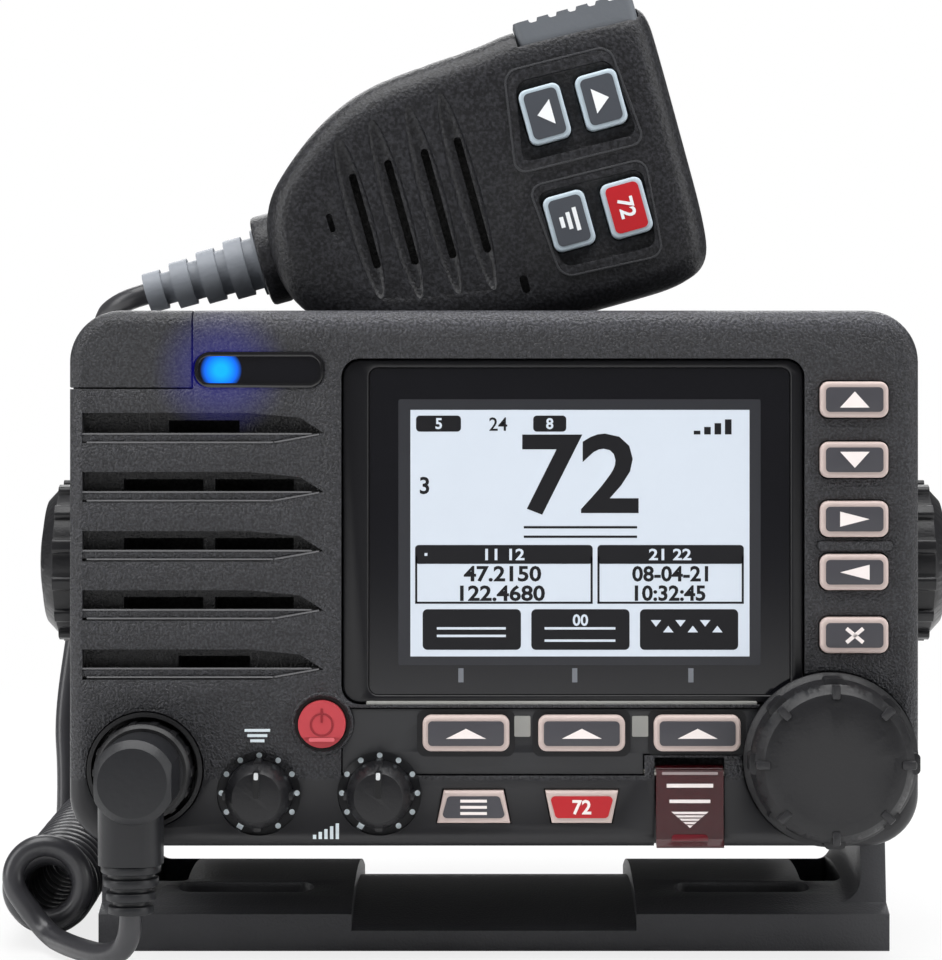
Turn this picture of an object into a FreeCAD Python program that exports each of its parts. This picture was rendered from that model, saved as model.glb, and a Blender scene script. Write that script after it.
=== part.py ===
"""Fixed-mount marine radio in a tilting bracket, with its fist microphone.

Millimetres, +Z up, the front faces -Y. The origin is the middle of the
bracket's underside, straight below the tilt axis. Pieces of the radio are
drawn about the middle of its front panel and then lifted by face_height.
"""
import FreeCAD, Part
import math
import os
import Sketcher
from FreeCAD import Placement, Rotation, Vector

doc = FreeCAD.newDocument("MarineRadio")
sheet = doc.addObject("Spreadsheet::Sheet", "size")

SIZES = [
    ("clearance", 0.3, "side gap round keys and inset pieces"),
    ("running_gap", 0.05, "radial gap of a shaft in its bore"),
    ("face_width", 180, "front panel across X"),
    ("face_tall", 113.6, "front panel along Z"),
    ("face_corner", 11, "front panel corner radius"),
    ("face_front", 52, "front plane ahead of the tilt axis"),
    ("face_deep", 20, "front panel front to back"),
    ("face_edge", 3.2, "rounding of the front rim"),
    ("face_height", 82, "middle of the front panel above the ground"),
    ("pivot_height", 83, "tilt axis above the ground"),
    ("case_width", 155, "rear case across X"),
    ("case_tall", 96.8, "rear case along Z"),
    ("case_corner", 7, "rear case corner radius"),
    ("case_back", 52, "back of the rear case behind the tilt axis"),
    ("gasket_deep", 1.6, "seal between front panel and rear case"),
    ("fin_tall", 12, "heat sink fins along Y"),
    ("fin_wall", 2.2, "thickness of one fin"),
    ("outlet_x", "=case_width / 2 - 13.5", "rear sockets from the middle"),
    ("outlet_room", 10.8, "rear sockets from the middle of the last fin"),
    ("fin_count", 15, "number of fins"),
    ("fin_pitch", "=2 * (outlet_x - outlet_room) / (fin_count - 1)", "spacing of the fins"),
    ("fin_base", 3, "heat sink plate"),
    ("screen_x", 16.7, "display frame middle"),
    ("screen_z", 10, "display frame middle above the panel's"),
    ("screen_wide", 98, "display frame"),
    ("screen_tall", 73.2, "display frame"),
    ("screen_deep", 8, "depth of the display bay"),
    ("screen_sunk", 1, "display frame behind the front plane"),
    ("glass_wide", 89, "display window"),
    ("glass_tall", "=screen_tall - 4.2", "display window"),
    ("glass_thick", 2, "display window"),
    ("glass_shift", 1.4, "window to the right of its frame's middle"),
    ("lcd_wide", 76.6, "display panel"),
    ("lcd_tall", "=screen_tall - 17", "display panel"),
    ("lcd_rise", 1.2, "display panel middle above the frame's"),
    ("lcd_thick", 2.4, "display panel"),
    ("grille_left", -87, "outer end of the grille grooves"),
    ("grille_right", -36, "pointed end of the grille grooves"),
    ("grille_top", 31.9, "first groove above the panel's middle"),
    ("grille_pitch", 12.5, "spacing of the grooves"),
    ("groove_tall", 6.4, "groove along Z"),
    ("groove_deep", 3, "groove depth"),
    ("corner_x", -63.6, "right edge of the corner cover"),
    ("corner_z", 40.1, "lower edge of the corner cover"),
    ("corner_deep", 8, "corner cover front to back"),
    ("seam", 0.3, "seam round the corner cover"),
    ("lamp_x", -49.7, "indicator window"),
    ("lamp_z", 44.1, "indicator window"),
    ("lamp_wide", 27.8, "indicator window"),
    ("lamp_tall", 7.2, "indicator window"),
    ("lamp_deep", 4, "indicator window recess"),
    ("lamp_thick", 1, "lamp behind the indicator window"),
    ("speaker_x", -60.5, "speaker bay middle"),
    ("speaker_z", 6.9, "speaker bay middle"),
    ("speaker_wide", 46, "speaker bay"),
    ("speaker_tall", 58, "speaker bay"),
    ("speaker_deep", 12, "speaker bay from the panel's back"),
    ("mesh_thick", 0.8, "cloth behind the grille"),
    ("knob_row", -45.4, "squelch and volume knobs below the middle"),
    ("squelch_x", -49.7, "squelch knob"),
    ("volume_x", -24.2, "volume knob"),
    ("knob_across", 14, "small knob diameter"),
    ("knob_tall", 8, "small knob ahead of its recess"),
    ("dish_across", 17.7, "recess round a small knob"),
    ("dish_deep", 1.2, "recess round a small knob"),
    ("bush_across", 8.4, "threaded bush of a potentiometer"),
    ("bush_deep", 12, "bore for a potentiometer"),
    ("shaft_out", 4.6, "shafts ahead of the front plane"),
    ("speaker_motor", 9.4, "speaker front to back"),
    ("antenna_z", -14, "antenna socket"),
    ("antenna_across", 15.9, "antenna socket barrel"),
    ("gland_z", 22, "cord glands above and below the middle"),
    ("gland_across", 9, "cord gland"),
    ("pad_across", 28, "friction pad"),
    ("shaft_across", 6, "small knob shaft"),
    ("dial_x", 71, "channel dial"),
    ("dial_z", -38, "channel dial"),
    ("dial_across", 34.4, "channel dial grip diameter"),
    ("dial_base", 36.8, "channel dial skirt diameter"),
    ("dial_tall", 12, "channel dial ahead of the front plane"),
    ("dial_lift", 0.95, "channel dial's back ahead of the front plane"),
    ("dial_lugs", 8, "finger lugs round the dial"),
    ("power_x", -36.3, "power button"),
    ("power_z", -30.6, "power button"),
    ("power_across", 10, "power button diameter"),
    ("key_column", 76, "right-hand keys"),
    ("key_wide", 14.4, "right-hand key"),
    ("key_tall", 7.6, "right-hand key"),
    ("key_proud", 1.6, "keys ahead of the front plane"),
    ("key_sunk", 3, "key below the front plane"),
    ("key_travel", 0.8, "how far a key is pressed"),
    ("soft_wide", 18.3, "key under the screen"),
    ("soft_middle", 18.5, "middle key under the screen"),
    ("soft_pitch", 24.4, "spacing of the keys under the screen"),
    ("trim_top", "=screen_z - screen_tall / 2 - 0.6", "upper edge of the key panel"),
    ("soft_row", "=trim_top - 5.3", "keys under the screen"),
    ("trim_left", -32.3, "left edge of the key panel"),
    ("trim_right", 56.1, "right edge of the key panel"),
    ("trim_deep", 4, "key panel recess"),
    ("trim_low", "=trim_top - 14.4", "lower edge of the key panel"),
    ("low_row", "=trim_low - 6.4", "menu and channel keys"),
    ("menu_x", -4.3, "menu key"),
    ("channel_x", 18.5, "channel key"),
    ("low_wide", 15.4, "menu and channel keys"),
    ("low_tall", 6.8, "menu and channel keys"),
    ("low_lean", 1.4, "lean of a low key's sides"),
    ("cover_x", 41.3, "distress cover"),
    ("cover_wide", 14.2, "distress cover"),
    ("cover_top", "=trim_low + 1.2", "top of the distress cover"),
    ("cover_tall", 16, "distress cover"),
    ("cover_thick", 1.6, "distress cover wall"),
    ("cover_proud", 1.4, "distress cover ahead of the front plane"),
    ("hatch_deep", 6.5, "recess under the distress cover"),
    ("hinge_wall", 2.4, "material beside the distress hinge"),
    ("hinge_front", 50.4, "distress hinge ahead of the tilt axis"),
    ("hinge_z", "=cover_top - 0.6", "distress hinge"),
    ("panic_z", "=cover_top - 8", "distress button"),
    ("cover_lip", 1.6, "finger lip at the foot of the distress cover"),
    ("ear_wall", 0.8, "wall round the hinge pin"),
    ("panic_proud", 3, "distress button ahead of its recess"),
    ("hinge_across", 1.6, "distress cover hinge pin"),
    ("hatch_top", "=hinge_z + face_front + cover_proud - hinge_front + clearance",
     "top of the distress recess, clear of the cover when it is level"),
    ("hatch_wall", 0.4, "wall between the key panel and the distress recess"),
    ("panic_across", 8, "distress button diameter"),
    ("socket_x", -73.8, "microphone socket"),
    ("socket_z", -40.4, "microphone socket"),
    ("socket_bore", 22.6, "microphone socket recess diameter"),
    ("socket_lip", 24.4, "rim round the socket recess"),
    ("socket_floor", 1.5, "back wall of the socket"),
    ("socket_deep", 9, "microphone socket recess"),
    ("plug_wide", 15.9, "right-angle plug across its flats"),
    ("plug_front", 22, "front of the plug ahead of the panel"),
    ("ring_across", 20.4, "plug coupling ring diameter"),
    ("plug_tall", 17.5, "right-angle plug, round way"),
    ("sleeve_across", 14.8, "plug sleeve inside the coupling ring"),
    ("post_across", 14, "contact block of the socket"),
    ("post_back", 4, "contact block behind the front plane"),
    ("ring_back", 3, "coupling ring behind the front plane"),
    ("ring_front", 5.5, "coupling ring ahead of the front plane"),
    ("ring_ribs", 14, "ribs round the coupling ring"),
    ("leg_shift", 1.3, "plug's lower leg to the left of its cap"),
    ("leg_front", 13, "plug's lower leg ahead of the front plane"),
    ("tail_deep", 12.6, "plug's lower leg front to back"),
    ("neck_in", 0.9, "depth of the necks between boot ribs"),
    ("tail_wide", 13.2, "plug's lower leg"),
    ("tail_low", 24, "bottom of the plug's lower leg above the ground"),
    ("boot_low", 13.7, "bottom of the plug's cord boot"),
    ("boot_top_across", 12.4, "plug boot, upper end"),
    ("boot_low_across", 9.4, "plug boot, lower end"),
    ("pad_thick", 3, "friction pad between the case and an arm"),
    ("arm_inside", "=case_width / 2 + pad_thick", "bracket arm's inner face from the middle"),
    ("arm_thick", 5.5, "bracket arm"),
    ("arm_round", 17, "round head of an arm about the tilt axis"),
    ("arm_foot", 30, "half width of an arm at its foot"),
    ("base_half", 34, "half depth of the bracket base"),
    ("base_edge", 8, "base thickness at its front and back edges"),
    ("base_crest", 13.5, "base thickness along the middle"),
    ("base_drop", 3.6, "how far the middle of the base is lowered"),
    ("drop_half", 31, "half width of the lowered middle"),
    ("slot_x", 55, "mounting slots from the middle"),
    ("slot_y", 20, "mounting slots from the middle"),
    ("slot_long", 30, "mounting slot end to end"),
    ("slot_across", 6, "mounting slot width"),
    ("base_bend", 5, "inner rounding where the arms meet the base"),
    ("window_x", "=arm_inside - 7.5", "base windows beside the arms"),
    ("window_wide", 9, "base window across X"),
    ("window_long", 32, "base window along Y"),
    ("stud_across", 6, "thumb screw shank"),
    ("stud_hole", 6.8, "hole in the arm for the shank"),
    ("stud_into", 12, "thumb screw engaged in the case"),
    ("thumb_across", 37, "tilt knob diameter"),
    ("thumb_long", 16.3, "tilt knob along X"),
    ("thumb_ribs", 13, "grip ribs of a tilt knob"),
    ("cord_across", 4.8, "microphone cord"),
    ("coil_mean", 15.6, "coil diameter to the middle of the cord"),
    ("coil_pitch", 5.5, "advance of the coil for each turn"),
    ("coil_x", "=-(arm_inside + arm_thick + 12.8)", "middle of the settled coil"),
    ("coil_step", 1.5, "first turn nearer the bracket"),
    ("coil_rise", 5.5, "first turn held up by the front tail"),
    ("coil_drift", 3.2, "coil's drift outwards along its length"),
    ("coil_front", -31, "start of the coil"),
    ("coil_turns", 20, "turns of the coil"),
    ("mic_wide", 63, "microphone across"),
    ("mic_neck", 21, "microphone across at the cord end"),
    ("mic_head", 43.5, "microphone middle to its head end"),
    ("mic_tail", 51, "microphone middle to its cord end"),
    ("mic_corner", 6, "microphone head corner radius"),
    ("mic_wall", 4, "microphone front wall"),
    ("mic_back", -10, "joint plane of the microphone's shells"),
    ("mic_rest", 35, "middle of the microphone above the case that it rests on"),
    ("mic_height", "=face_height + case_tall / 2 + mic_rest", "middle of the microphone above the ground"),
    ("mic_boot_low", 9, "microphone boot at its tip"),
    ("mic_boot_top", 15, "microphone boot at the shells"),
    ("mic_boot_long", 30, "microphone boot"),
    ("boot_y", -1, "boot ahead of the shells' joint plane"),
    ("louver_x", -16.5, "microphone louvers middle"),
    ("louver_pitch", 8, "spacing of the microphone louvers"),
    ("louver_span", 33, "grille chamber"),
    ("louver_tall", 42, "longest microphone louver"),
    ("stud_neck", 6, "hanger stud neck diameter"),
    ("stud_head", 12.5, "hanger stud head diameter"),
    ("stud_long", 8, "hanger stud length"),
    ("ptt_x", 27.5, "talk key along the microphone"),
    ("ptt_sunk", 5, "talk key below the shell's side"),
    ("ptt_travel", 1.5, "talk key travel"),
    ("mic_front_deep", 16, "microphone front shell"),
    ("mic_rear_deep", 14, "microphone rear shell"),
    ("mic_edge", 4, "rounding of the microphone's front"),
    ("mic_tilt", 15.5, "lean of the microphone, cord end low"),
    ("mic_key_wide", 9.4, "microphone key"),
    ("mic_key_tall", 12.4, "microphone key"),
    ("mic_key_proud", 1.4, "microphone keys ahead of their frame"),
    ("ptt_long", 27, "talk key along the microphone"),
    ("ptt_deep", 12, "talk key front to back"),
    ("ptt_proud", 3.4, "talk key out of the microphone's side"),
]
for row, (alias, number, note) in enumerate(SIZES, start=1):
    sheet.set("A%d" % row, str(number))
    sheet.set("B%d" % row, note)
    sheet.setAlias("A%d" % row, alias)
doc.recompute()

ABOVE = "size.face_height"
parts = []


def value(expression):
    """The number that an expression on the sheet gives."""
    return float(sheet.evalExpression(str(expression)))


def keep(piece, label, x="0", y="0", z="0"):
    """Name a finished piece, place it by expressions and list it for export."""
    piece.Label = label
    piece.setExpression("Placement.Base.x", x)
    piece.setExpression("Placement.Base.y", y)
    piece.setExpression("Placement.Base.z", z)
    parts.append(piece)
    return piece


def new_body(name):
    """An empty body."""
    return doc.addObject("PartDesign::Body", name)


def sketch_on(body, role, offset="0"):
    """A sketch on one of the body's own origin planes, moved along its normal."""
    sketch = body.newObject("Sketcher::SketchObject", body.Name + "Sketch")
    plane = [feature for feature in body.Origin.OriginFeatures if feature.Role == role][0]
    sketch.AttachmentSupport = [(plane, "")]
    sketch.MapMode = "FlatFace"
    sketch.setExpression("AttachmentOffset.Base.z", offset)
    return sketch


def pin(sketch, edge, end, x, y):
    """Hold one end of a sketch edge at two expressions."""
    for kind, expression in (("DistanceX", x), ("DistanceY", y)):
        rule = Sketcher.Constraint(kind, -1, 1, edge, end, value(expression))
        index = sketch.addConstraint(rule)
        sketch.setExpression("Constraints[%d]" % index, expression)


def outline(sketch, points):
    """A closed loop of lines through points given as pairs of expressions."""
    first = sketch.GeometryCount
    places = [Vector(value(x), value(y), 0) for x, y in points]
    for index, place in enumerate(places):
        following = places[(index + 1) % len(places)]
        sketch.addGeometry(Part.LineSegment(place, following))
    for index, (x, y) in enumerate(points):
        following = first + (index + 1) % len(points)
        sketch.addConstraint(Sketcher.Constraint("Coincident", first + index, 2, following, 1))
        pin(sketch, first + index, 1, x, y)


def rounded(sketch, x, y, wide, tall, radius):
    """A rounded rectangle about a middle point, all sizes as expressions."""
    first = sketch.GeometryCount
    right, left = "(%s) + (%s) / 2" % (x, wide), "(%s) - (%s) / 2" % (x, wide)
    top, low = "(%s) + (%s) / 2" % (y, tall), "(%s) - (%s) / 2" % (y, tall)
    into = {right: "%s - (%s)" % (right, radius), left: "%s + (%s)" % (left, radius)}
    into.update({top: "%s - (%s)" % (top, radius), low: "%s + (%s)" % (low, radius)})
    ends = [(into[left], low), (into[right], low), (right, into[low]), (right, into[top]),
            (into[right], top), (into[left], top), (left, into[top]), (left, into[low])]
    spots = [Vector(value(a), value(b), 0) for a, b in ends]
    r = value(radius)
    centres = [Vector(spots[2 * side + 1].x, spots[2 * side + 1].y, 0) for side in range(4)]
    shift = [Vector(0, r, 0), Vector(-r, 0, 0), Vector(0, -r, 0), Vector(r, 0, 0)]
    for side in range(4):
        start, end = spots[2 * side], spots[2 * side + 1]
        sketch.addGeometry(Part.LineSegment(start, end))
        middle = centres[side] + shift[side]
        begin = -math.pi / 2 + side * math.pi / 2
        circle = Part.Circle(middle, Vector(0, 0, 1), r)
        sketch.addGeometry(Part.ArcOfCircle(circle, begin, begin + math.pi / 2))
    for side in range(4):
        line, arc = first + 2 * side, first + 2 * side + 1
        following = first + (2 * side + 2) % 8
        pin(sketch, line, 1, *ends[2 * side])
        pin(sketch, line, 2, *ends[2 * side + 1])
        sketch.addConstraint(Sketcher.Constraint("Coincident", line, 2, arc, 1))
        sketch.addConstraint(Sketcher.Constraint("Coincident", arc, 2, following, 1))
        index = sketch.addConstraint(Sketcher.Constraint("Radius", arc, r))
        sketch.setExpression("Constraints[%d]" % index, radius)


def ring(sketch, x, y, across):
    """A circle of a given diameter."""
    circle = Part.Circle(Vector(value(x), value(y), 0), Vector(0, 0, 1), value(across) / 2)
    edge = sketch.addGeometry(circle)
    pin(sketch, edge, 3, x, y)
    index = sketch.addConstraint(Sketcher.Constraint("Diameter", edge, value(across)))
    sketch.setExpression("Constraints[%d]" % index, across)


def pad(body, sketch, length, backwards=False):
    """Raise a sketch along its normal, or against it."""
    feature = body.newObject("PartDesign::Pad", "Pad")
    feature.Profile = sketch
    feature.setExpression("Length", length)
    feature.Reversed = backwards
    doc.recompute()
    return feature


def pocket(body, sketch, length, backwards=False):
    """Cut a sketch into the body, and make sure that it removed something."""
    before = body.Shape.Volume
    feature = body.newObject("PartDesign::Pocket", "Pocket")
    feature.Profile = sketch
    feature.setExpression("Length", length)
    feature.Reversed = backwards
    doc.recompute()
    if body.Shape.Volume > before - 0.01:
        raise RuntimeError("a pocket of %s removes nothing" % body.Name)
    return feature


def turn(body, sketch, axis="V_Axis"):
    """Revolve a sketch a full turn about one of its own axes."""
    feature = body.newObject("PartDesign::Revolution", "Revolution")
    feature.Profile = sketch
    feature.ReferenceAxis = (sketch, [axis])
    feature.Angle = 360
    doc.recompute()
    return feature


def repeat_round(body, feature, sketch, count):
    """Repeat a feature in a full circle about its sketch's normal."""
    pattern = body.newObject("PartDesign::PolarPattern", "PolarPattern")
    pattern.Originals = [feature]
    pattern.Axis = (sketch, ["N_Axis"])
    pattern.Angle = 360
    pattern.setExpression("Occurrences", count)
    body.Tip = pattern
    doc.recompute()
    return pattern


def round_edges(body, radius, chosen):
    """Round the edges of the body's last feature that a test picks."""
    base = body.Tip
    names = ["Edge%d" % (index + 1) for index, edge in enumerate(base.Shape.Edges) if chosen(edge)]
    feature = body.newObject("PartDesign::Fillet", "Fillet")
    feature.Base = (base, names)
    feature.setExpression("Radius", radius)
    doc.recompute()
    return feature


def edge_on(axis, place, slack=0.01):
    """A test for edges that lie wholly in a plane square to an axis."""
    def chosen(edge):
        box = edge.BoundBox
        low = {"x": box.XMin, "y": box.YMin, "z": box.ZMin}[axis]
        high = {"x": box.XMax, "y": box.YMax, "z": box.ZMax}[axis]
        return abs(low - place) < slack and abs(high - place) < slack
    return chosen


def cylinder(name, across, length, direction):
    """A plain cylinder from the origin along a direction."""
    piece = doc.addObject("Part::Cylinder", name)
    piece.setExpression("Radius", "(%s) / 2" % across)
    piece.setExpression("Height", length)
    piece.Placement = Placement(Vector(0, 0, 0), Rotation(Vector(0, 0, 1), direction))
    return piece


FRONT = Vector(0, -1, 0)
PLANE = "size.face_front"
GAP = "size.clearance"


def arched(sketch, points, crest, centre):
    """Lines through points, closed by an arc over a crest on the upright axis."""
    first = sketch.GeometryCount
    last = len(points) - 1
    corners = [Vector(value(x), value(y), 0) for x, y in points]
    for start, end in zip(corners, corners[1:]):
        sketch.addGeometry(Part.LineSegment(start, end))
    sketch.addGeometry(Part.Arc(corners[-1], Vector(0, value(crest), 0), corners[0]))
    for index in range(last):
        sketch.addConstraint(Sketcher.Constraint("Coincident", first + index, 2, first + index + 1, 1))
    sketch.addConstraint(Sketcher.Constraint("Coincident", first + last, 2, first, 1))
    for index, (x, y) in enumerate(points):
        pin(sketch, first + index, 1, x, y)
    rule = Sketcher.Constraint("DistanceY", -1, 1, first + last, 3, value(centre))
    index = sketch.addConstraint(rule)
    sketch.setExpression("Constraints[%d]" % index, centre)


def crown_radius(edge, crest):
    """The radius of an arc over the base that rises from edge to crest."""
    rise = "((%s) - (%s))" % (crest, edge)
    return "((size.base_half * size.base_half + %s * %s) / (2 * %s))" % (rise, rise, rise)


def mounting_bracket():
    """U bracket: crowned base with a lowered middle, two arms, slots and windows."""
    body = new_body("Bracket")
    outside = "size.arm_inside + size.arm_thick"
    base = sketch_on(body, "YZ_Plane", "-(%s)" % outside)
    half, edge, crest = "size.base_half", "size.base_edge", "size.base_crest"
    radius = crown_radius(edge, crest)
    corners = [("-" + half, edge), ("-" + half, "0"), (half, "0"), (half, edge)]
    arched(base, corners, crest, "%s - %s" % (crest, radius))
    pad(body, base, "2 * (%s)" % outside)
    middle = sketch_on(body, "YZ_Plane", "size.drop_half")
    floor = "%s - size.base_drop" % edge
    crown = "%s - size.base_drop" % crest
    above = "%s + 1" % crest
    corners = [("-" + half, floor), ("-" + half, above), (half, above), (half, floor)]
    arched(middle, corners, crown, "%s - %s" % (crown, radius))
    pocket(body, middle, "2 * size.drop_half")
    for start in ("size.arm_inside", "-(%s)" % outside):
        arm = sketch_on(body, "YZ_Plane", start)
        arched(arm, [("-size.arm_round", "size.pivot_height"), ("-size.arm_foot", "0"),
                     ("size.arm_foot", "0"), ("size.arm_round", "size.pivot_height")],
               "size.pivot_height + size.arm_round", "size.pivot_height")
        pad(body, arm, "size.arm_thick")
    inside = value("size.arm_inside")

    def bend(edge):
        box = edge.BoundBox
        flat = box.XMax - box.XMin < 0.01 and abs(abs(box.XMax) - inside) < 0.01
        return flat and box.ZMax < value("size.base_crest") + 0.1 and box.ZMin > 1

    round_edges(body, "size.base_bend", bend)
    holes = sketch_on(body, "XY_Plane", "size.base_crest + size.base_bend")
    for side in (-1, 1):
        for end in (-1, 1):
            rounded(holes, "%d * size.slot_x" % side, "%d * size.slot_y" % end,
                    "size.slot_long", "size.slot_across", "size.slot_across / 2 - 0.05")
        rounded(holes, "%d * size.window_x" % side, "0",
                "size.window_wide", "size.window_long", "1.5")
    pocket(body, holes, "size.base_crest + size.base_bend + 1")
    studs = sketch_on(body, "YZ_Plane", "%s + 1" % outside)
    ring(studs, "0", "size.pivot_height", "size.stud_hole")
    pocket(body, studs, "2 * (%s) + 2" % outside)
    keep(body, "mounting_bracket")


def face_block(body, front_offset, deep):
    """The front panel's rounded outline as a block with a rounded front rim."""
    back = sketch_on(body, "XZ_Plane", "%s - (%s)" % (front_offset, deep))
    rounded(back, "0", "0", "size.face_width", "size.face_tall", "size.face_corner")
    pad(body, back, deep)
    round_edges(body, "size.face_edge", edge_on("y", -value(front_offset)))


RIGHT_KEYS = [("up", 37.9), ("down", 25.2), ("right", 12.7), ("left", 1.5), ("clear", -11.8)]
SLOT_SPANS = [[(-69, -54)], [(-78.6, -61.7), (-59.2, -42.5)], [(-78.6, -61.7), (-59.2, -42.5)],
              [(-78.6, -61.7), (-59.2, -42.5)], [(-67, -51.8)]]


def low_key_outline(sketch, x, wide_top, gap):
    """A menu or channel key: a bar whose sides lean in towards one edge."""
    wide, tall = "(size.low_wide / 2 + (%s))" % gap, "(size.low_tall / 2 + (%s))" % gap
    narrow = "(%s - size.low_lean)" % wide
    top, low = (wide, narrow) if wide_top else (narrow, wide)
    outline(sketch, [("%s - %s" % (x, low), "size.low_row - %s" % tall),
                     ("%s + %s" % (x, low), "size.low_row - %s" % tall),
                     ("%s + %s" % (x, top), "size.low_row + %s" % tall),
                     ("%s - %s" % (x, top), "size.low_row + %s" % tall)])


def strip_outline(sketch, gap):
    """The key panel's outline, stepped up where the distress cover starts."""
    left, right = "size.trim_left + (%s)" % gap, "size.trim_right - (%s)" % gap
    top, low = "size.trim_top - (%s)" % gap, "size.trim_low + (%s)" % gap
    step = "size.cover_x - size.cover_wide / 2 - size.hinge_wall - (%s)" % gap
    high = "size.hatch_top + size.hatch_wall + (%s)" % gap
    outline(sketch, [(left, low), (step, low), (step, high), (right, high), (right, top), (left, top)])


def front_bezel():
    """Front panel with its display bay, grooves, key wells, dishes and sockets."""
    body = new_body("Bezel")
    face_block(body, PLANE, "size.face_deep")
    bay = sketch_on(body, "XZ_Plane", PLANE)
    rounded(bay, "size.screen_x", "size.screen_z", "size.screen_wide", "size.screen_tall", "4")
    pocket(body, bay, "size.screen_deep")
    corner = sketch_on(body, "XZ_Plane", PLANE)
    outline(corner, [("-size.face_width", "size.corner_z"), ("size.corner_x", "size.corner_z"),
                     ("size.corner_x", "size.face_tall"), ("-size.face_width", "size.face_tall")])
    pocket(body, corner, "size.corner_deep")
    lamp = sketch_on(body, "XZ_Plane", PLANE)
    rounded(lamp, "size.lamp_x", "size.lamp_z", "size.lamp_wide", "size.lamp_tall", "3")
    pocket(body, lamp, "size.lamp_deep")
    grooves = sketch_on(body, "XZ_Plane", PLANE)
    slots = sketch_on(body, "XZ_Plane", PLANE)
    for index, spans in enumerate(SLOT_SPANS):
        z = "size.grille_top - %d * size.grille_pitch" % index
        outline(grooves, [("size.grille_left", "%s - size.groove_tall / 2" % z),
                          ("size.grille_right - 12", "%s - size.groove_tall / 2" % z),
                          ("size.grille_right", "%s - size.groove_tall / 6" % z),
                          ("size.grille_right - 5", "%s + size.groove_tall / 3" % z),
                          ("size.grille_right - 16", "%s + size.groove_tall / 2" % z),
                          ("size.grille_left", "%s + size.groove_tall / 2" % z)])
        for left, right in spans:
            outline(slots, [(str(left), "%s - size.groove_tall / 4" % z),
                            (str(right), "%s - size.groove_tall / 4" % z),
                            (str(right), "%s + size.groove_tall / 4" % z),
                            (str(left), "%s + size.groove_tall / 4" % z)])
    pocket(body, grooves, "size.groove_deep")
    pocket(body, slots, "size.face_deep - size.speaker_deep + 1")
    back = sketch_on(body, "XZ_Plane", "%s - size.face_deep" % PLANE)
    rounded(back, "size.speaker_x", "size.speaker_z", "size.speaker_wide", "size.speaker_tall", "3")
    pocket(body, back, "size.speaker_deep", backwards=True)
    wells = sketch_on(body, "XZ_Plane", PLANE)
    for name, z in RIGHT_KEYS:
        rounded(wells, "size.key_column", str(z), "size.key_wide + 2 * size.clearance",
                "size.key_tall + 2 * size.clearance", "2")
    low_key_outline(wells, "size.menu_x", False, GAP)
    low_key_outline(wells, "size.channel_x", True, GAP)
    ring(wells, "size.power_x", "size.power_z", "size.power_across + 2 * size.clearance")
    pocket(body, wells, "size.key_sunk + size.key_travel + size.clearance")
    strip = sketch_on(body, "XZ_Plane", PLANE)
    strip_outline(strip, "0")
    pocket(body, strip, "size.trim_deep")
    soft = sketch_on(body, "XZ_Plane", "%s - size.trim_deep" % PLANE)
    for place in (-1, 0, 1):
        rounded(soft, "size.soft_middle + %d * size.soft_pitch" % place, "size.soft_row",
                "size.soft_wide + 2 * size.clearance", "size.key_tall + 2 * size.clearance", "2")
    pocket(body, soft, "size.key_travel + size.clearance + 1")
    dishes = sketch_on(body, "XZ_Plane", PLANE)
    ring(dishes, "size.squelch_x", "size.knob_row", "size.dish_across")
    ring(dishes, "size.volume_x", "size.knob_row", "size.dish_across")
    pocket(body, dishes, "size.dish_deep")
    dial = sketch_on(body, "XZ_Plane", PLANE)
    ring(dial, "size.dial_x", "size.dial_z", "size.dial_base + 2 * size.clearance")
    pocket(body, dial, "size.dish_deep + size.key_travel")
    bores = sketch_on(body, "XZ_Plane", PLANE)
    ring(bores, "size.squelch_x", "size.knob_row", "size.bush_across + 2 * size.clearance")
    ring(bores, "size.volume_x", "size.knob_row", "size.bush_across + 2 * size.clearance")
    ring(bores, "size.dial_x", "size.dial_z", "size.bush_across + 2 * size.clearance")
    pocket(body, bores, "size.bush_deep")
    hatch = sketch_on(body, "XZ_Plane", PLANE)
    wide = "size.cover_wide / 2 + size.clearance"
    outline(hatch, [("size.cover_x - (%s)" % wide, "-size.face_tall"),
                    ("size.cover_x + %s" % wide, "-size.face_tall"),
                    ("size.cover_x + %s" % wide, "size.hatch_top"),
                    ("size.cover_x - (%s)" % wide, "size.hatch_top")])
    pocket(body, hatch, "size.hatch_deep")
    panic = sketch_on(body, "XZ_Plane", "%s - size.hatch_deep" % PLANE)
    ring(panic, "size.cover_x", "size.panic_z", "size.panic_across + 2 * size.clearance")
    pocket(body, panic, "size.key_travel + size.clearance + 2")
    pins = sketch_on(body, "YZ_Plane", "size.cover_x + %s + size.hinge_wall" % wide)
    ring(pins, "-size.hinge_front", "size.hinge_z", "size.hinge_across + 2 * size.running_gap")
    pocket(body, pins, "2 * (%s + size.hinge_wall)" % wide)
    well = sketch_on(body, "XZ_Plane", PLANE)
    ring(well, "size.socket_x", "size.socket_z", "size.socket_lip + 2 * size.clearance")
    pocket(body, well, "size.socket_deep + size.socket_floor")
    keep(body, "front_bezel", z=ABOVE)


def corner_cover():
    """The separate upper left corner of the front panel."""
    body = new_body("Corner")
    face_block(body, PLANE, "size.corner_deep")
    rest = sketch_on(body, "XZ_Plane", PLANE)
    x, z = "size.corner_x - size.seam", "size.corner_z + size.seam"
    outline(rest, [(x, "size.face_tall"), (x, z), ("-size.face_width", z),
                   ("-size.face_width", "-size.face_tall"), ("size.face_width", "-size.face_tall"),
                   ("size.face_width", "size.face_tall")])
    pocket(body, rest, "size.corner_deep")
    keep(body, "corner_cover", z=ABOVE)


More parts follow.
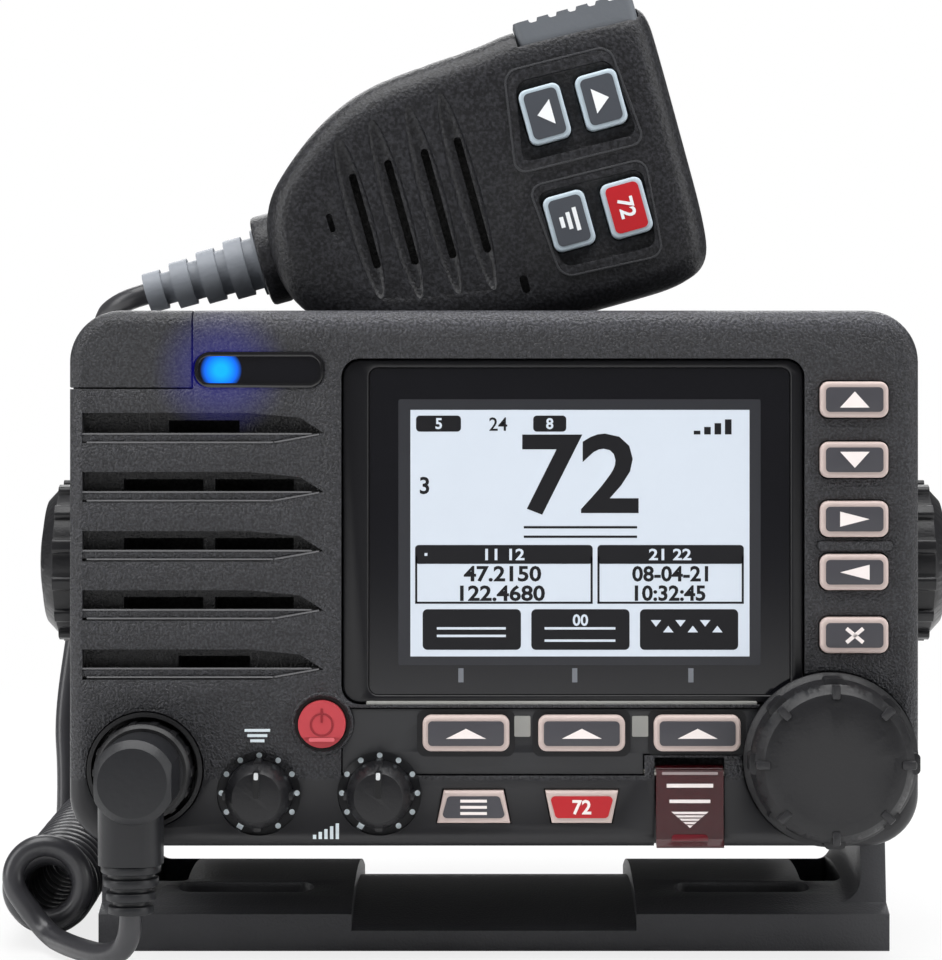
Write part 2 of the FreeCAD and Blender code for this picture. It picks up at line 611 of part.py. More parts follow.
def display_stack():
    """Display frame with a ledge, the window on the ledge and the panel behind."""
    frame = new_body("DisplayFrame")
    depth = "size.screen_deep - size.screen_sunk"
    front = "%s - size.screen_sunk" % PLANE
    outer = sketch_on(frame, "XZ_Plane", "%s - size.screen_deep" % PLANE)
    rounded(outer, "0", "0", "size.screen_wide - 2 * size.clearance",
            "size.screen_tall - 2 * size.clearance", "4 - size.clearance")
    pad(frame, outer, depth)
    seat = sketch_on(frame, "XZ_Plane", front)
    rounded(seat, "size.glass_shift", "0", "size.glass_wide + size.clearance",
            "size.glass_tall + size.clearance", "2")
    pocket(frame, seat, "size.glass_thick + 0.5")
    hole = sketch_on(frame, "XZ_Plane", front)
    rounded(hole, "0", "size.lcd_rise", "size.lcd_wide + 2 * size.clearance",
            "size.lcd_tall + 2 * size.clearance", "1")
    pocket(frame, hole, depth)
    window = new_body("DisplayWindow")
    sheet_face = sketch_on(window, "XZ_Plane", "%s - size.glass_thick - 0.5" % front)
    rounded(sheet_face, "size.glass_shift", "0", "size.glass_wide", "size.glass_tall", "1.8")
    pad(window, sheet_face, "size.glass_thick")
    panel = new_body("DisplayPanel")
    back = sketch_on(panel, "XZ_Plane", "%s - size.screen_deep" % PLANE)
    rounded(back, "0", "size.lcd_rise", "size.lcd_wide", "size.lcd_tall", "0.8")
    pad(panel, back, "size.lcd_thick")
    for piece, label in ((frame, "display_frame"), (window, "display_window"), (panel, "lcd_panel")):
        keep(piece, label, x="size.screen_x", z="%s + size.screen_z" % ABOVE)


def indicator():
    """The pill-shaped indicator window and the lamp at its left end."""
    window = new_body("IndicatorWindow")
    face = sketch_on(window, "XZ_Plane", "%s - size.lamp_deep + size.lamp_thick" % PLANE)
    rounded(face, "0", "0", "size.lamp_wide - 2 * size.clearance",
            "size.lamp_tall - 2 * size.clearance", "3 - size.clearance")
    pad(window, face, "size.lamp_deep - size.lamp_thick - 0.2")
    keep(window, "led_window", x="size.lamp_x", z="%s + size.lamp_z" % ABOVE)
    lamp = new_body("Lamp")
    chip = sketch_on(lamp, "XZ_Plane", "%s - size.lamp_deep" % PLANE)
    rounded(chip, "-size.lamp_wide / 4", "0", "7.6", "4", "0.6")
    pad(lamp, chip, "size.lamp_thick")
    keep(lamp, "led_lamp", x="size.lamp_x", z="%s + size.lamp_z" % ABOVE)


def key_panel():
    """The satin strip under the screen with its three key openings."""
    body = new_body("KeyPanel")
    strip = sketch_on(body, "XZ_Plane", "%s - size.trim_deep" % PLANE)
    strip_outline(strip, GAP)
    pad(body, strip, "size.trim_deep - 0.6")
    keys = sketch_on(body, "XZ_Plane", PLANE)
    for place in (-1, 0, 1):
        rounded(keys, "size.soft_middle + %d * size.soft_pitch" % place, "size.soft_row",
                "size.soft_wide + 2 * size.clearance", "size.key_tall + 2 * size.clearance", "2")
    ring(keys, "size.power_x", "size.power_z", "size.power_across + 2 * size.clearance")
    ring(keys, "size.volume_x", "size.knob_row", "size.bush_across + 2 * size.clearance")
    pocket(body, keys, "size.trim_deep")
    dish = sketch_on(body, "XZ_Plane", PLANE)
    ring(dish, "size.volume_x", "size.knob_row", "size.dish_across")
    pocket(body, dish, "size.dish_deep")
    keep(body, "soft_key_panel", z=ABOVE)


def capsule_key(name, label, wide, x, z):
    """A moulded key: a rounded bar with a softened face and a raised middle."""
    body = new_body(name)
    root = sketch_on(body, "XZ_Plane", "-size.key_sunk")
    rounded(root, "0", "0", wide, "size.key_tall", "2 - size.clearance / 2")
    pad(body, root, "size.key_sunk + size.key_proud")
    round_edges(body, "0.7", edge_on("y", -value("size.key_proud")))
    island = sketch_on(body, "XZ_Plane", "size.key_proud")
    rounded(island, "0", "0", "(%s) - 3" % wide, "size.key_tall - 3", "1")
    pad(body, island, "0.3")
    keep(body, label, x=x, y="-size.face_front", z="%s + (%s)" % (ABOVE, z))


def keys():
    """Right-hand keys, keys under the screen and the two low keys."""
    for name, z in RIGHT_KEYS:
        capsule_key("Key" + name.title(), "key_" + name, "size.key_wide", "size.key_column", str(z))
    for place, side in ((-1, "left"), (0, "middle"), (1, "right")):
        capsule_key("Soft" + side.title(), "soft_key_" + side, "size.soft_wide",
                    "size.soft_middle + %d * size.soft_pitch" % place, "size.soft_row")
    for label, x, wide_top in (("menu_key", "size.menu_x", False),
                               ("channel_key", "size.channel_x", True)):
        body = new_body("Low" + label.title().replace("_", ""))
        root = sketch_on(body, "XZ_Plane", "%s - size.key_sunk" % PLANE)
        low_key_outline(root, x, wide_top, "0")
        pad(body, root, "size.key_sunk + size.key_proud")
        round_edges(body, "0.6", edge_on("y", -value("size.face_front + size.key_proud")))
        keep(body, label, z=ABOVE)


def power_button():
    """The round power button with its finger step."""
    body = new_body("Power")
    root = sketch_on(body, "XZ_Plane", "-size.key_sunk")
    ring(root, "0", "0", "size.power_across")
    pad(body, root, "size.key_sunk + size.key_proud")
    step = sketch_on(body, "XZ_Plane", "size.key_proud")
    rounded(step, "0", "-size.power_across * 0.42", "size.power_across", "size.power_across * 0.3", "0.4")
    pocket(body, step, "0.5")
    keep(body, "power_button", x="size.power_x", y="-size.face_front", z="%s + size.power_z" % ABOVE)


def distress_flap():
    """The flip-up distress cover, its hinge pin and the button under it."""
    body = new_body("Flap")
    wall = "size.cover_thick"
    side = sketch_on(body, "YZ_Plane", "-size.cover_wide / 2")
    proud = "-(%s + size.cover_proud)" % PLANE
    back = "%s + %s" % (proud, wall)
    low = "size.cover_top - size.cover_tall"
    lip = "%s - size.cover_lip" % proud
    outline(side, [(proud, "size.cover_top"), (proud, low + " + size.cover_lip"), (lip, low + " + 0.4"),
                   (lip, low), (back, low), (back, "size.cover_top")])
    pad(body, side, "size.cover_wide")
    ears = sketch_on(body, "YZ_Plane", "-size.cover_wide / 2")
    ring(ears, "-size.hinge_front", "size.hinge_z", "size.hinge_across + 2 * size.ear_wall")
    pad(body, ears, "size.cover_wide")
    bore = sketch_on(body, "YZ_Plane", "size.cover_wide / 2")
    ring(bore, "-size.hinge_front", "size.hinge_z", "size.hinge_across + 2 * size.running_gap")
    pocket(body, bore, "size.cover_wide")
    keep(body, "distress_cover", x="size.cover_x", z=ABOVE)
    span = "(size.cover_wide + 2 * size.clearance + 2 * size.hinge_wall - 0.4)"
    rod = cylinder("HingePin", "size.hinge_across", span, Vector(1, 0, 0))
    keep(rod, "distress_hinge_pin", x="size.cover_x - %s / 2" % span, y="-size.hinge_front",
         z="%s + size.hinge_z" % ABOVE)
    button = new_body("Panic")
    root = sketch_on(button, "XZ_Plane", "-1.9")
    ring(root, "0", "0", "size.panic_across")
    pad(button, root, "1.9 + size.panic_proud")
    round_edges(button, "0.5", edge_on("y", -value("size.panic_proud")))
    keep(button, "distress_button", x="size.cover_x", y="-size.face_front + size.hatch_deep",
         z="%s + size.panic_z" % ABOVE)


def shaft_unit(name, label, x, z, dish):
    """A potentiometer or encoder: bush in the panel and shaft out of it."""
    body = new_body(name)
    side = sketch_on(body, "XY_Plane")
    bush, shaft = "size.bush_across / 2", "size.shaft_across / 2"
    tip = "-size.shaft_out"
    outline(side, [("0", "size.bush_deep"), (bush, "size.bush_deep"), (bush, dish + " + 0.2"),
                   (shaft, dish + " + 0.2"), (shaft, tip), ("0", tip)])
    turn(body, side)
    keep(body, label, x=x, y="-size.face_front", z="%s + %s" % (ABOVE, z))


def encoder():
    """The dial's bush and the shaft that turns and is pressed in it."""
    bush = new_body("Encoder")
    side = sketch_on(bush, "XY_Plane")
    bore, out = "size.shaft_across / 2 + size.running_gap", "size.bush_across / 2"
    mouth = "size.dish_deep + size.key_travel + 0.2"
    outline(side, [("0", "size.bush_deep"), (out, "size.bush_deep"), (out, mouth), (bore, mouth),
                   (bore, "size.bush_deep - 1.5"), ("0", "size.bush_deep - 1.5")])
    turn(bush, side)
    keep(bush, "dial_encoder", x="size.dial_x", y="-size.face_front", z="%s + size.dial_z" % ABOVE)
    inside = "size.bush_deep - 1.5 - size.key_travel - size.clearance"
    shaft = cylinder("DialShaft", "size.shaft_across", "%s + size.shaft_out" % inside, FRONT)
    keep(shaft, "dial_shaft", x="size.dial_x", y="-size.face_front + %s" % inside,
         z="%s + size.dial_z" % ABOVE)


def small_knob(name, label, x):
    """A squelch or volume knob: waisted cap, pointer rib and four grip lugs."""
    body = new_body(name)
    side = sketch_on(body, "XY_Plane")
    out, bore = "size.knob_across / 2", "size.shaft_across / 2 + size.running_gap"
    root, tip = "size.dish_deep - size.clearance", "size.dish_deep - size.knob_tall"
    outline(side, [(bore, root), (out, root), (out + " - 0.3", tip + " + 2.4"),
                   (out + " - 1.9", tip), ("0", tip), ("0", "-size.shaft_out - 0.3"),
                   (bore, "-size.shaft_out - 0.3")])
    turn(body, side)
    lug = sketch_on(body, "XZ_Plane", "-(%s)" % root)
    rounded(lug, "size.knob_across / 2 - 0.1", "0", "1", "1.6", "0.3")
    raised = pad(body, lug, "size.knob_tall - 3")
    repeat_round(body, raised, lug, "4")
    rib = sketch_on(body, "XZ_Plane", "-(%s) - 0.4" % tip)
    rounded(rib, "0", "size.knob_across / 5", "1.3", "size.knob_across / 2 - 1", "0.4")
    pad(body, rib, "0.9")
    keep(body, label, x=x, y="-size.face_front", z="%s + size.knob_row" % ABOVE)


def channel_dial():
    """The big dial: skirt, grip with finger lugs and a softly rounded face."""
    body = new_body("Dial")
    side = sketch_on(body, "XY_Plane")
    skirt, grip = "size.dial_base / 2", "size.dial_across / 2"
    bore = "size.shaft_across / 2 + size.running_gap"
    root, tip = "-size.dial_lift", "-size.dial_tall"
    outline(side, [(bore, root), (skirt, root), (skirt, "-2"), (grip, "-3.2"),
                   (grip + " - 0.6", tip + " + 3"), (grip + " - 2.4", tip + " + 0.7"),
                   (grip + " - 5", tip), ("0", tip + " + 0.4"), ("0", "-size.shaft_out - 0.3"),
                   (bore, "-size.shaft_out - 0.3")])
    turn(body, side)
    lug = sketch_on(body, "XZ_Plane", "1")
    rounded(lug, grip + " - 0.6", "0", "2.4", "4.4", "1")
    raised = pad(body, lug, "size.dial_tall - 4")
    repeat_round(body, raised, lug, "size.dial_lugs")
    keep(body, "channel_dial", x="size.dial_x", y="-size.face_front", z="%s + size.dial_z" % ABOVE)


def front_controls():
    """Shafts in the panel and the knobs on them."""
    shaft_unit("SquelchPot", "squelch_pot", "size.squelch_x", "size.knob_row", "size.dish_deep")
    shaft_unit("VolumePot", "volume_pot", "size.volume_x", "size.knob_row", "size.dish_deep")
    encoder()
    small_knob("SquelchKnob", "squelch_knob", "size.squelch_x")
    small_knob("VolumeKnob", "volume_knob", "size.volume_x")
    channel_dial()


def speaker_parts():
    """Cloth behind the grille slots and the speaker behind the cloth."""
    cloth = new_body("Cloth")
    wall = "%s - size.face_deep + size.speaker_deep" % PLANE
    face = sketch_on(cloth, "XZ_Plane", "%s - size.mesh_thick" % wall)
    rounded(face, "0", "0", "size.speaker_wide - 2 * size.clearance",
            "size.speaker_tall - 2 * size.clearance", "2.6")
    pad(cloth, face, "size.mesh_thick")
    keep(cloth, "speaker_mesh", x="size.speaker_x", z="%s + size.speaker_z" % ABOVE)
    driver = new_body("Speaker")
    side = sketch_on(driver, "XY_Plane")
    rim, magnet = "size.speaker_wide / 2 - 1", "size.speaker_wide / 4"
    outline(side, [("0", "3"), ("5", "2.6"), (rim + " - 3", "0.6"), (rim + " - 2", "0"), (rim, "0"),
                   (rim, "1.8"), (magnet + " + 4", "5"), (magnet, "5"), (magnet, "size.speaker_motor"),
                   ("0", "size.speaker_motor")])
    turn(driver, side)
    keep(driver, "speaker", x="size.speaker_x", y="-(%s - size.mesh_thick)" % wall,
         z="%s + size.speaker_z" % ABOVE)


def rear_case():
    """Seal, rear case with stud bosses, heat sink, sockets and friction pads."""
    start = "size.face_front - size.face_deep"
    seal = new_body("Seal")
    band = sketch_on(seal, "XZ_Plane", "%s - size.gasket_deep" % start)
    rounded(band, "0", "0", "size.case_width - 3", "size.case_tall - 3", "size.case_corner - 1.5")
    rounded(band, "0", "0", "size.case_width - 9", "size.case_tall - 9", "size.case_corner - 4.5")
    pad(seal, band, "size.gasket_deep")
    keep(seal, "bezel_gasket", z=ABOVE)
    case = new_body("RearCase")
    back = sketch_on(case, "XZ_Plane", "-size.case_back")
    rounded(back, "0", "0", "size.case_width", "size.case_tall", "size.case_corner")
    pad(case, back, "size.case_back + %s - size.gasket_deep" % start)
    round_edges(case, "1.5", edge_on("y", value("size.case_back")))
    bores = sketch_on(case, "YZ_Plane", "size.case_width / 2")
    ring(bores, "0", "size.pivot_height - size.face_height", "size.stud_across + 2 * size.running_gap")
    pocket(case, bores, "size.stud_into + 0.5")
    mirror_bores = sketch_on(case, "YZ_Plane", "-size.case_width / 2")
    ring(mirror_bores, "0", "size.pivot_height - size.face_height", "size.stud_across + 2 * size.running_gap")
    pocket(case, mirror_bores, "size.stud_into + 0.5", backwards=True)
    waist = sketch_on(case, "XY_Plane", "size.case_tall / 2")
    for side in (-1, 1):
        rounded(waist, "%d * size.case_width / 2" % side, "size.case_back - 10", "3", "14", "1")
    pocket(case, waist, "size.case_tall")
    keep(case, "rear_case", z=ABOVE)
    sink = new_body("HeatSink")
    plate = sketch_on(sink, "XZ_Plane", "-(size.case_back + size.fin_base)")
    rounded(plate, "0", "0", "size.case_width - 8", "size.case_tall - 8", "5")
    pad(sink, plate, "size.fin_base")
    fin = sketch_on(sink, "XZ_Plane", "-(size.case_back + size.fin_base + size.fin_tall)")
    rounded(fin, "-(size.fin_count - 1) * size.fin_pitch / 2", "0", "size.fin_wall",
            "size.case_tall - 16", "0.6")
    blade = pad(sink, fin, "size.fin_tall")
    row = sink.newObject("PartDesign::LinearPattern", "LinearPattern")
    row.Originals = [blade]
    row.Direction = (fin, ["H_Axis"])
    row.setExpression("Length", "(size.fin_count - 1) * size.fin_pitch")
    row.setExpression("Occurrences", "size.fin_count")
    sink.Tip = row
    doc.recompute()
    keep(sink, "heat_sink", z=ABOVE)
    rear = "size.case_back + size.fin_base"
    for name, label, x, z, across, long in (
            ("Antenna", "antenna_socket", "size.outlet_x", "size.antenna_z", "size.antenna_across", "14"),
            ("PowerGland", "power_gland", "-size.outlet_x", "-size.gland_z", "size.gland_across", "7"),
            ("DataGland", "data_gland", "-size.outlet_x", "size.gland_z", "size.gland_across", "7")):
        body = new_body(name)
        side = sketch_on(body, "XY_Plane")
        out = "%s / 2" % across
        outline(side, [("0", "0"), (out + " + 1.4", "0"), (out + " + 1.4", "2.4"), (out, "2.4"),
                       (out, long), (out + " - 2.2", long), (out + " - 2.2", "4"), ("0", "4")])
        turn(body, side)
        keep(body, label, x=x, y=rear, z="%s + (%s)" % (ABOVE, z))
    for name, label, start_x in (("LeftPad", "left_pad", "-size.arm_inside"),
                                 ("RightPad", "right_pad", "size.case_width / 2")):
        body = new_body(name)
        face = sketch_on(body, "YZ_Plane", start_x)
        ring(face, "0", "0", "size.pad_across")
        ring(face, "0", "0", "size.stud_hole")
        pad(body, face, "size.pad_thick")
        keep(body, label, z="size.pivot_height")


def tilt_knobs():
    """A grip wheel with ribs on a shank that runs through the arm into the case."""
    for side, label in ((-1, "left_knob"), (1, "right_knob")):
        body = new_body("Thumb" + ("Left" if side < 0 else "Right"))
        face = sketch_on(body, "XY_Plane")
        near = "size.arm_inside + size.arm_thick + size.clearance"
        far = "%s + size.thumb_long" % near
        end = "size.case_width / 2 - size.stud_into"
        grip, shank = "size.thumb_across / 2 - 1.4", "size.stud_across / 2"
        points = [(end, "0"), (end, shank), (near, shank), (near, grip + " - 5"), (near + " + 2", grip),
                  (far + " - 4", grip), (far + " - 1.2", grip + " - 3"), (far, grip + " - 9"), (far, "0")]
        if side < 0:
            points = [("-(%s)" % x, y) for x, y in reversed(points)]
        outline(face, points)
        turn(body, face, "H_Axis")
        rib = sketch_on(body, "YZ_Plane", near + " + 2" if side > 0 else "-(%s - 4)" % far)
        rounded(rib, grip, "0", "2.8", "3.4", "1.1")
        raised = pad(body, rib, "size.thumb_long - 6")
        repeat_round(body, raised, rib, "size.thumb_ribs")
        keep(body, label, z="size.pivot_height")


SOCKET_Z = "size.face_height + size.socket_z"


def plug_and_socket():
    """Socket in the panel, right-angle plug with its coupling ring and boot."""
    socket = new_body("Socket")
    side = sketch_on(socket, "XY_Plane")
    rim, bore, rear = "size.socket_lip / 2", "size.socket_bore / 2", "size.socket_deep"
    back = "size.socket_deep + size.socket_floor"
    outline(side, [("0", back), (rim, back), (rim, "-0.6"), (bore, "-0.6"), (bore, rear),
                   ("size.post_across / 2", rear), ("size.post_across / 2", "size.post_back"),
                   ("0", "size.post_back")])
    turn(socket, side)
    keep(socket, "mic_socket", x="size.socket_x", y="-size.face_front", z=SOCKET_Z)
    plug = new_body("Plug")
    shape = sketch_on(plug, "XY_Plane")
    sleeve, cap, tip = "size.sleeve_across / 2", "size.plug_tall / 2", "-size.plug_front"
    root = "-size.ring_front - size.clearance"
    outline(shape, [("0", "size.post_back"), (sleeve, "size.post_back"), (sleeve, root),
                    (cap, root), (cap, tip + " + 1.6"), (cap + " - 1.6", tip), ("0", tip)])
    turn(plug, shape)
    flats = sketch_on(plug, "XZ_Plane", "size.plug_front + 1")
    for side_of in (-1, 1):
        rounded(flats, "%d * (size.plug_wide / 2 + 2)" % side_of, "0", "4", "30", "1")
    pocket(plug, flats, "size.plug_front - size.ring_front + 1 - 2 * size.clearance")
    leg = sketch_on(plug, "XY_Plane", "size.tail_low - size.face_height - size.socket_z")
    rounded(leg, "-size.leg_shift", "-size.leg_front", "size.tail_wide", "size.tail_deep", "4.6")
    pad(plug, leg, "size.face_height + size.socket_z - size.tail_low")
    keep(plug, "mic_plug", x="size.socket_x", y="-size.face_front", z=SOCKET_Z)
    nut = new_body("CouplingRing")
    wall = sketch_on(nut, "XY_Plane")
    inner, outer = "size.sleeve_across / 2 + size.running_gap", "size.ring_across / 2"
    outline(wall, [(inner, "size.ring_back"), (outer, "size.ring_back"), (outer, "-size.ring_front + 0.8"),
                   (outer + " - 0.8", "-size.ring_front"), (inner, "-size.ring_front")])
    turn(nut, wall)
    rib = sketch_on(nut, "XZ_Plane", "-size.ring_back")
    rounded(rib, "size.ring_across / 2 - 0.2", "0", "1", "1.6", "0.3")
    raised = pad(nut, rib, "size.ring_back + size.ring_front - 1")
    repeat_round(nut, raised, rib, "size.ring_ribs")
    keep(nut, "coupling_ring", x="size.socket_x", y="-size.face_front", z=SOCKET_Z)
    boot = new_body("PlugBoot")
    profile = sketch_on(boot, "XZ_Plane")
    ribbed_profile(profile, "size.boot_low_across / 2", "size.boot_top_across / 2",
                   "size.tail_low - size.boot_low", 4)
    turn(boot, profile)
    keep(boot, "plug_boot", x="size.socket_x - size.leg_shift",
         y="-(size.face_front + size.leg_front)", z="size.boot_low")


def ribbed_profile(sketch, low, top, tall, ribs):
    """Half the section of a strain relief: wide bands with necks between."""
    points = [("0", "0")]
    for band in range(ribs):
        wide = "(%s) + ((%s) - (%s)) * %d / %d" % (low, top, low, band, ribs - 1)
        for share, waist in ((0, 0), (0.62, 0), (0.62, 1), (1, 1)):
            if band == ribs - 1 and waist:
                continue
            height = "(%s) * %.3f" % (tall, (band + share) / (ribs - 0.38))
            points.append((wide + " - %d * size.neck_in" % waist, height))
    points.append(("0", tall))
    outline(sketch, points)


MIC_KEYS = [("mic_key_left", 15.4, 13.7), ("mic_key_right", 28.2, 13.4),
            ("mic_key_level", 14.3, -10.4), ("mic_key_channel", 27.2, -11)]


def on_microphone(piece, label, x="0", y="0", z="0"):
    """Place a piece that is drawn in the leaning microphone's own frame."""
    axis = Vector(0, 1, 0)
    piece.Placement = Placement(Vector(0, 0, 0), Rotation(axis, -value("size.mic_tilt")))
    keep(piece, label, y="size.mic_back + (%s)" % y,
         x="(%s) * cos(size.mic_tilt * 1deg) - (%s) * sin(size.mic_tilt * 1deg)" % (x, z),
         z="size.mic_height + (%s) * sin(size.mic_tilt * 1deg) + (%s) * cos(size.mic_tilt * 1deg)" % (x, z))
    piece.setExpression("Placement.Rotation.Angle", "-size.mic_tilt")


def mic_outline(sketch):
    """The microphone from the front: square head end, shoulders and a narrow cord end."""
    half, neck = "size.mic_wide / 2", "size.mic_neck / 2"
    head, tail = "size.mic_head", "-size.mic_tail"
    upper = [(tail, neck), (tail + " + 7", neck + " + 5.6"), (tail + " + 18", half + " - 5.6"),
             (tail + " + 32", half + " - 0.8"), (tail + " + 58", half + " + 0.6"), (head, half)]
    lower = [(x, "-(%s)" % z) for x, z in reversed(upper)]
    outline(sketch, upper + lower)


def microphone():
    """Two shells, grille cloth, boot, talk key, four keys and the hanger stud."""
    front = new_body("MicFront")
    face = sketch_on(front, "XZ_Plane")
    mic_outline(face)
    pad(front, face, "size.mic_front_deep")
    head = value("size.mic_head")
    round_edges(front, "size.mic_corner", lambda edge: edge.BoundBox.XMin > head - 0.1
                and edge.BoundBox.YLength > 5)
    round_edges(front, "size.mic_edge", edge_on("y", -value("size.mic_front_deep")))
    chamber = sketch_on(front, "XZ_Plane")
    rounded(chamber, "size.louver_x", "0", "size.louver_span", "size.louver_tall + 6", "2")
    pocket(front, chamber, "size.mic_front_deep - size.mic_wall", backwards=True)
    louvers = sketch_on(front, "XZ_Plane", "size.mic_front_deep")
    slots = sketch_on(front, "XZ_Plane", "size.mic_front_deep")
    for index in range(4):
        x = "size.louver_x + (%g) * size.louver_pitch" % (index - 1.5)
        tall = "size.louver_tall - 3 * %d" % (3 - index)
        outline(louvers, [(x, "-(%s) / 2" % tall), (x + " + 2.2", "-(%s) / 5" % tall),
                          (x + " + 2.2", "(%s) / 5" % tall), (x, "(%s) / 2" % tall),
                          (x + " - 2.2", "(%s) / 5" % tall), (x + " - 2.2", "-(%s) / 5" % tall)])
        rounded(slots, x, "0", "1.6", tall + " - 16", "0.7")
    pocket(front, louvers, "1.8")
    pocket(front, slots, "size.mic_wall + 0.5")
    wells = sketch_on(front, "XZ_Plane", "size.mic_front_deep")
    for label, x, z in MIC_KEYS:
        rounded(wells, str(x), str(z), "size.mic_key_wide + 2 * size.clearance",
                "size.mic_key_tall + 2 * size.clearance", "2")
    pocket(front, wells, "size.key_sunk + size.key_travel + size.clearance")
    talk = sketch_on(front, "XY_Plane", "size.mic_wide / 2 + 5")
    rounded(talk, "size.ptt_x", "-size.mic_front_deep / 2 - 0.5", "size.ptt_long + 2 * size.clearance",
            "size.ptt_deep + 2 * size.clearance", "2")
    pocket(front, talk, "5 + size.ptt_sunk + size.ptt_travel + size.clearance")
    on_microphone(front, "mic_front_shell")
    rear = new_body("MicRear")
    back = sketch_on(rear, "XZ_Plane", "-size.mic_rear_deep")
    mic_outline(back)
    pad(rear, back, "size.mic_rear_deep")
    round_edges(rear, "size.mic_corner", lambda edge: edge.BoundBox.XMin > head - 0.1
                and edge.BoundBox.YLength > 5)
    round_edges(rear, "size.mic_edge", edge_on("y", value("size.mic_rear_deep")))
    on_microphone(rear, "mic_rear_shell")
    cloth = new_body("MicCloth")
    plate = sketch_on(cloth, "XZ_Plane", "size.mic_front_deep - size.mic_wall - size.mesh_thick")
    rounded(plate, "size.louver_x", "0", "size.louver_span - 2 * size.clearance",
            "size.louver_tall + 6 - 2 * size.clearance", "1.7")
    pad(cloth, plate, "size.mesh_thick")
    on_microphone(cloth, "mic_mesh")
    for label, x, z in MIC_KEYS:
        body = new_body(label.title().replace("_", ""))
        root = sketch_on(body, "XZ_Plane", "-size.key_sunk")
        rounded(root, "0", "0", "size.mic_key_wide", "size.mic_key_tall", "1.8")
        pad(body, root, "size.key_sunk + size.mic_key_proud")
        round_edges(body, "0.6", edge_on("y", -value("size.mic_key_proud")))
        on_microphone(body, label, x=str(x), y="-size.mic_front_deep", z=str(z))
    talk_key = new_body("TalkKey")
    foot = sketch_on(talk_key, "XY_Plane", "-size.ptt_sunk")
    rounded(foot, "0", "0", "size.ptt_long", "size.ptt_deep", "1.7")
    pad(talk_key, foot, "size.ptt_sunk + size.ptt_proud")
    grip = sketch_on(talk_key, "XZ_Plane", "size.ptt_deep")
    for index in range(5):
        rounded(grip, "%d * size.ptt_long / 6" % (index - 2), "size.ptt_proud", "2", "1.6", "0.6")
    pocket(talk_key, grip, "2 * size.ptt_deep")
    on_microphone(talk_key, "ptt_button", x="size.ptt_x", y="-size.mic_front_deep / 2 - 0.5",
                  z="size.mic_wide / 2")
    boot = new_body("MicBoot")
    profile = sketch_on(boot, "XY_Plane")
    ribbed_profile(profile, "size.mic_boot_low / 2", "size.mic_boot_top / 2", "size.mic_boot_long", 5)
    turn(boot, profile)
    upright = Placement(Vector(0, 0, 0), Rotation(Vector(0, 0, 1), -90))
    boot.Placement = upright
    on_boot(boot)
    stud = new_body("HangerStud")
    side = sketch_on(stud, "XY_Plane")
    neck = "size.stud_neck / 2"
    outline(side, [("0", "0"), (neck, "0"), (neck, "size.stud_long - 2.6"),
                   ("size.stud_head / 2", "size.stud_long - 2.6"),
                   ("size.stud_head / 2", "size.stud_long - 0.6"),
                   ("size.stud_head / 2 - 0.6", "size.stud_long"), ("0", "size.stud_long")])
    turn(stud, side)
    on_microphone(stud, "mic_stud", y="size.mic_rear_deep")


def on_boot(piece):
    """Place the cord boot along the microphone's own long axis, tip outwards."""
    lean = value("size.mic_tilt")
    turned = Rotation(Vector(0, 1, 0), -lean).multiply(Rotation(Vector(0, 0, 1), -90))
    piece.Placement = Placement(Vector(0, 0, 0), turned)
    reach = "(size.mic_tail + size.mic_boot_long)"
    keep(piece, "mic_boot", x="-%s * cos(size.mic_tilt * 1deg)" % reach, y="size.mic_back + size.boot_y",
         z="size.mic_height - %s * sin(size.mic_tilt * 1deg)" % reach)


def sweep(label, path, section, area):
    """Sweep a closed section along a wire and compare the volume with area x length."""
    solid = Part.Wire(path.Edges).makePipeShell([section], True, False)
    if solid.Volume < 0:
        solid.reverse()
    print(label, "volume over section times length", round(solid.Volume / (area * path.Length), 4))
    piece = doc.addObject("Part::Feature", label)
    piece.Shape = solid
    piece.Label = label
    piece.Placement = Placement()
    parts.append(piece)


def tail_path(label, points):
    """Straight runs joined by tangent arcs, each as large as its two runs allow."""
    edges, radii, start = [], [], points[0]
    for before, corner, after in zip(points, points[1:], points[2:]):
        inward, onward = (before - corner), (after - corner)
        half_turn = (math.pi - inward.getAngle(onward)) / 2
        radius = 0.45 * min(inward.Length, onward.Length) / math.tan(half_turn)
        back = radius * math.tan(half_turn)
        inward.normalize()
        onward.normalize()
        first, last = corner + inward * back, corner + onward * back
        bisector = (inward + onward).normalize()
        middle = corner + bisector * (radius / math.cos(half_turn) - radius)
        edges.append(Part.LineSegment(start, first).toShape())
        edges.append(Part.Arc(first, middle, last).toShape())
        radii.append(round(radius, 1))
        start = last
    edges.append(Part.LineSegment(start, points[-1]).toShape())
    print(label, "radii", radii)
    return Part.Wire(edges)


def cord_tail(label, points):
    """A plain length of cord along chosen points."""
    path = tail_path(label, points)
    across = value("size.cord_across")
    circle = Part.Circle(points[0], points[1] - points[0], across / 2)
    section = Part.Wire([circle.toShape()])
    sweep(label, path, section, math.pi * across * across / 4)


def coil_point(turns):
    """The cord's middle after some turns of the coil, which settles from a raised start."""
    angle = math.radians(COIL_START) - 2 * math.pi * turns
    settle = math.exp(-turns / 1.2)
    radius = value("size.coil_mean") / 2
    x = value("size.coil_x") + value("size.coil_step") * settle
    x -= value("size.coil_drift") * turns / value("size.coil_turns")
    z = radius + value("size.cord_across") / 2 + GROUND_GAP + value("size.coil_rise") * settle
    y = value("size.coil_front") + value("size.coil_pitch") * turns
    return Vector(x + radius * math.cos(angle), y, z + radius * math.sin(angle))


def coil_heading(turns):
    """The cord's direction at some turns of the coil."""
    return (coil_point(turns + 0.001) - coil_point(turns - 0.001)).normalize()


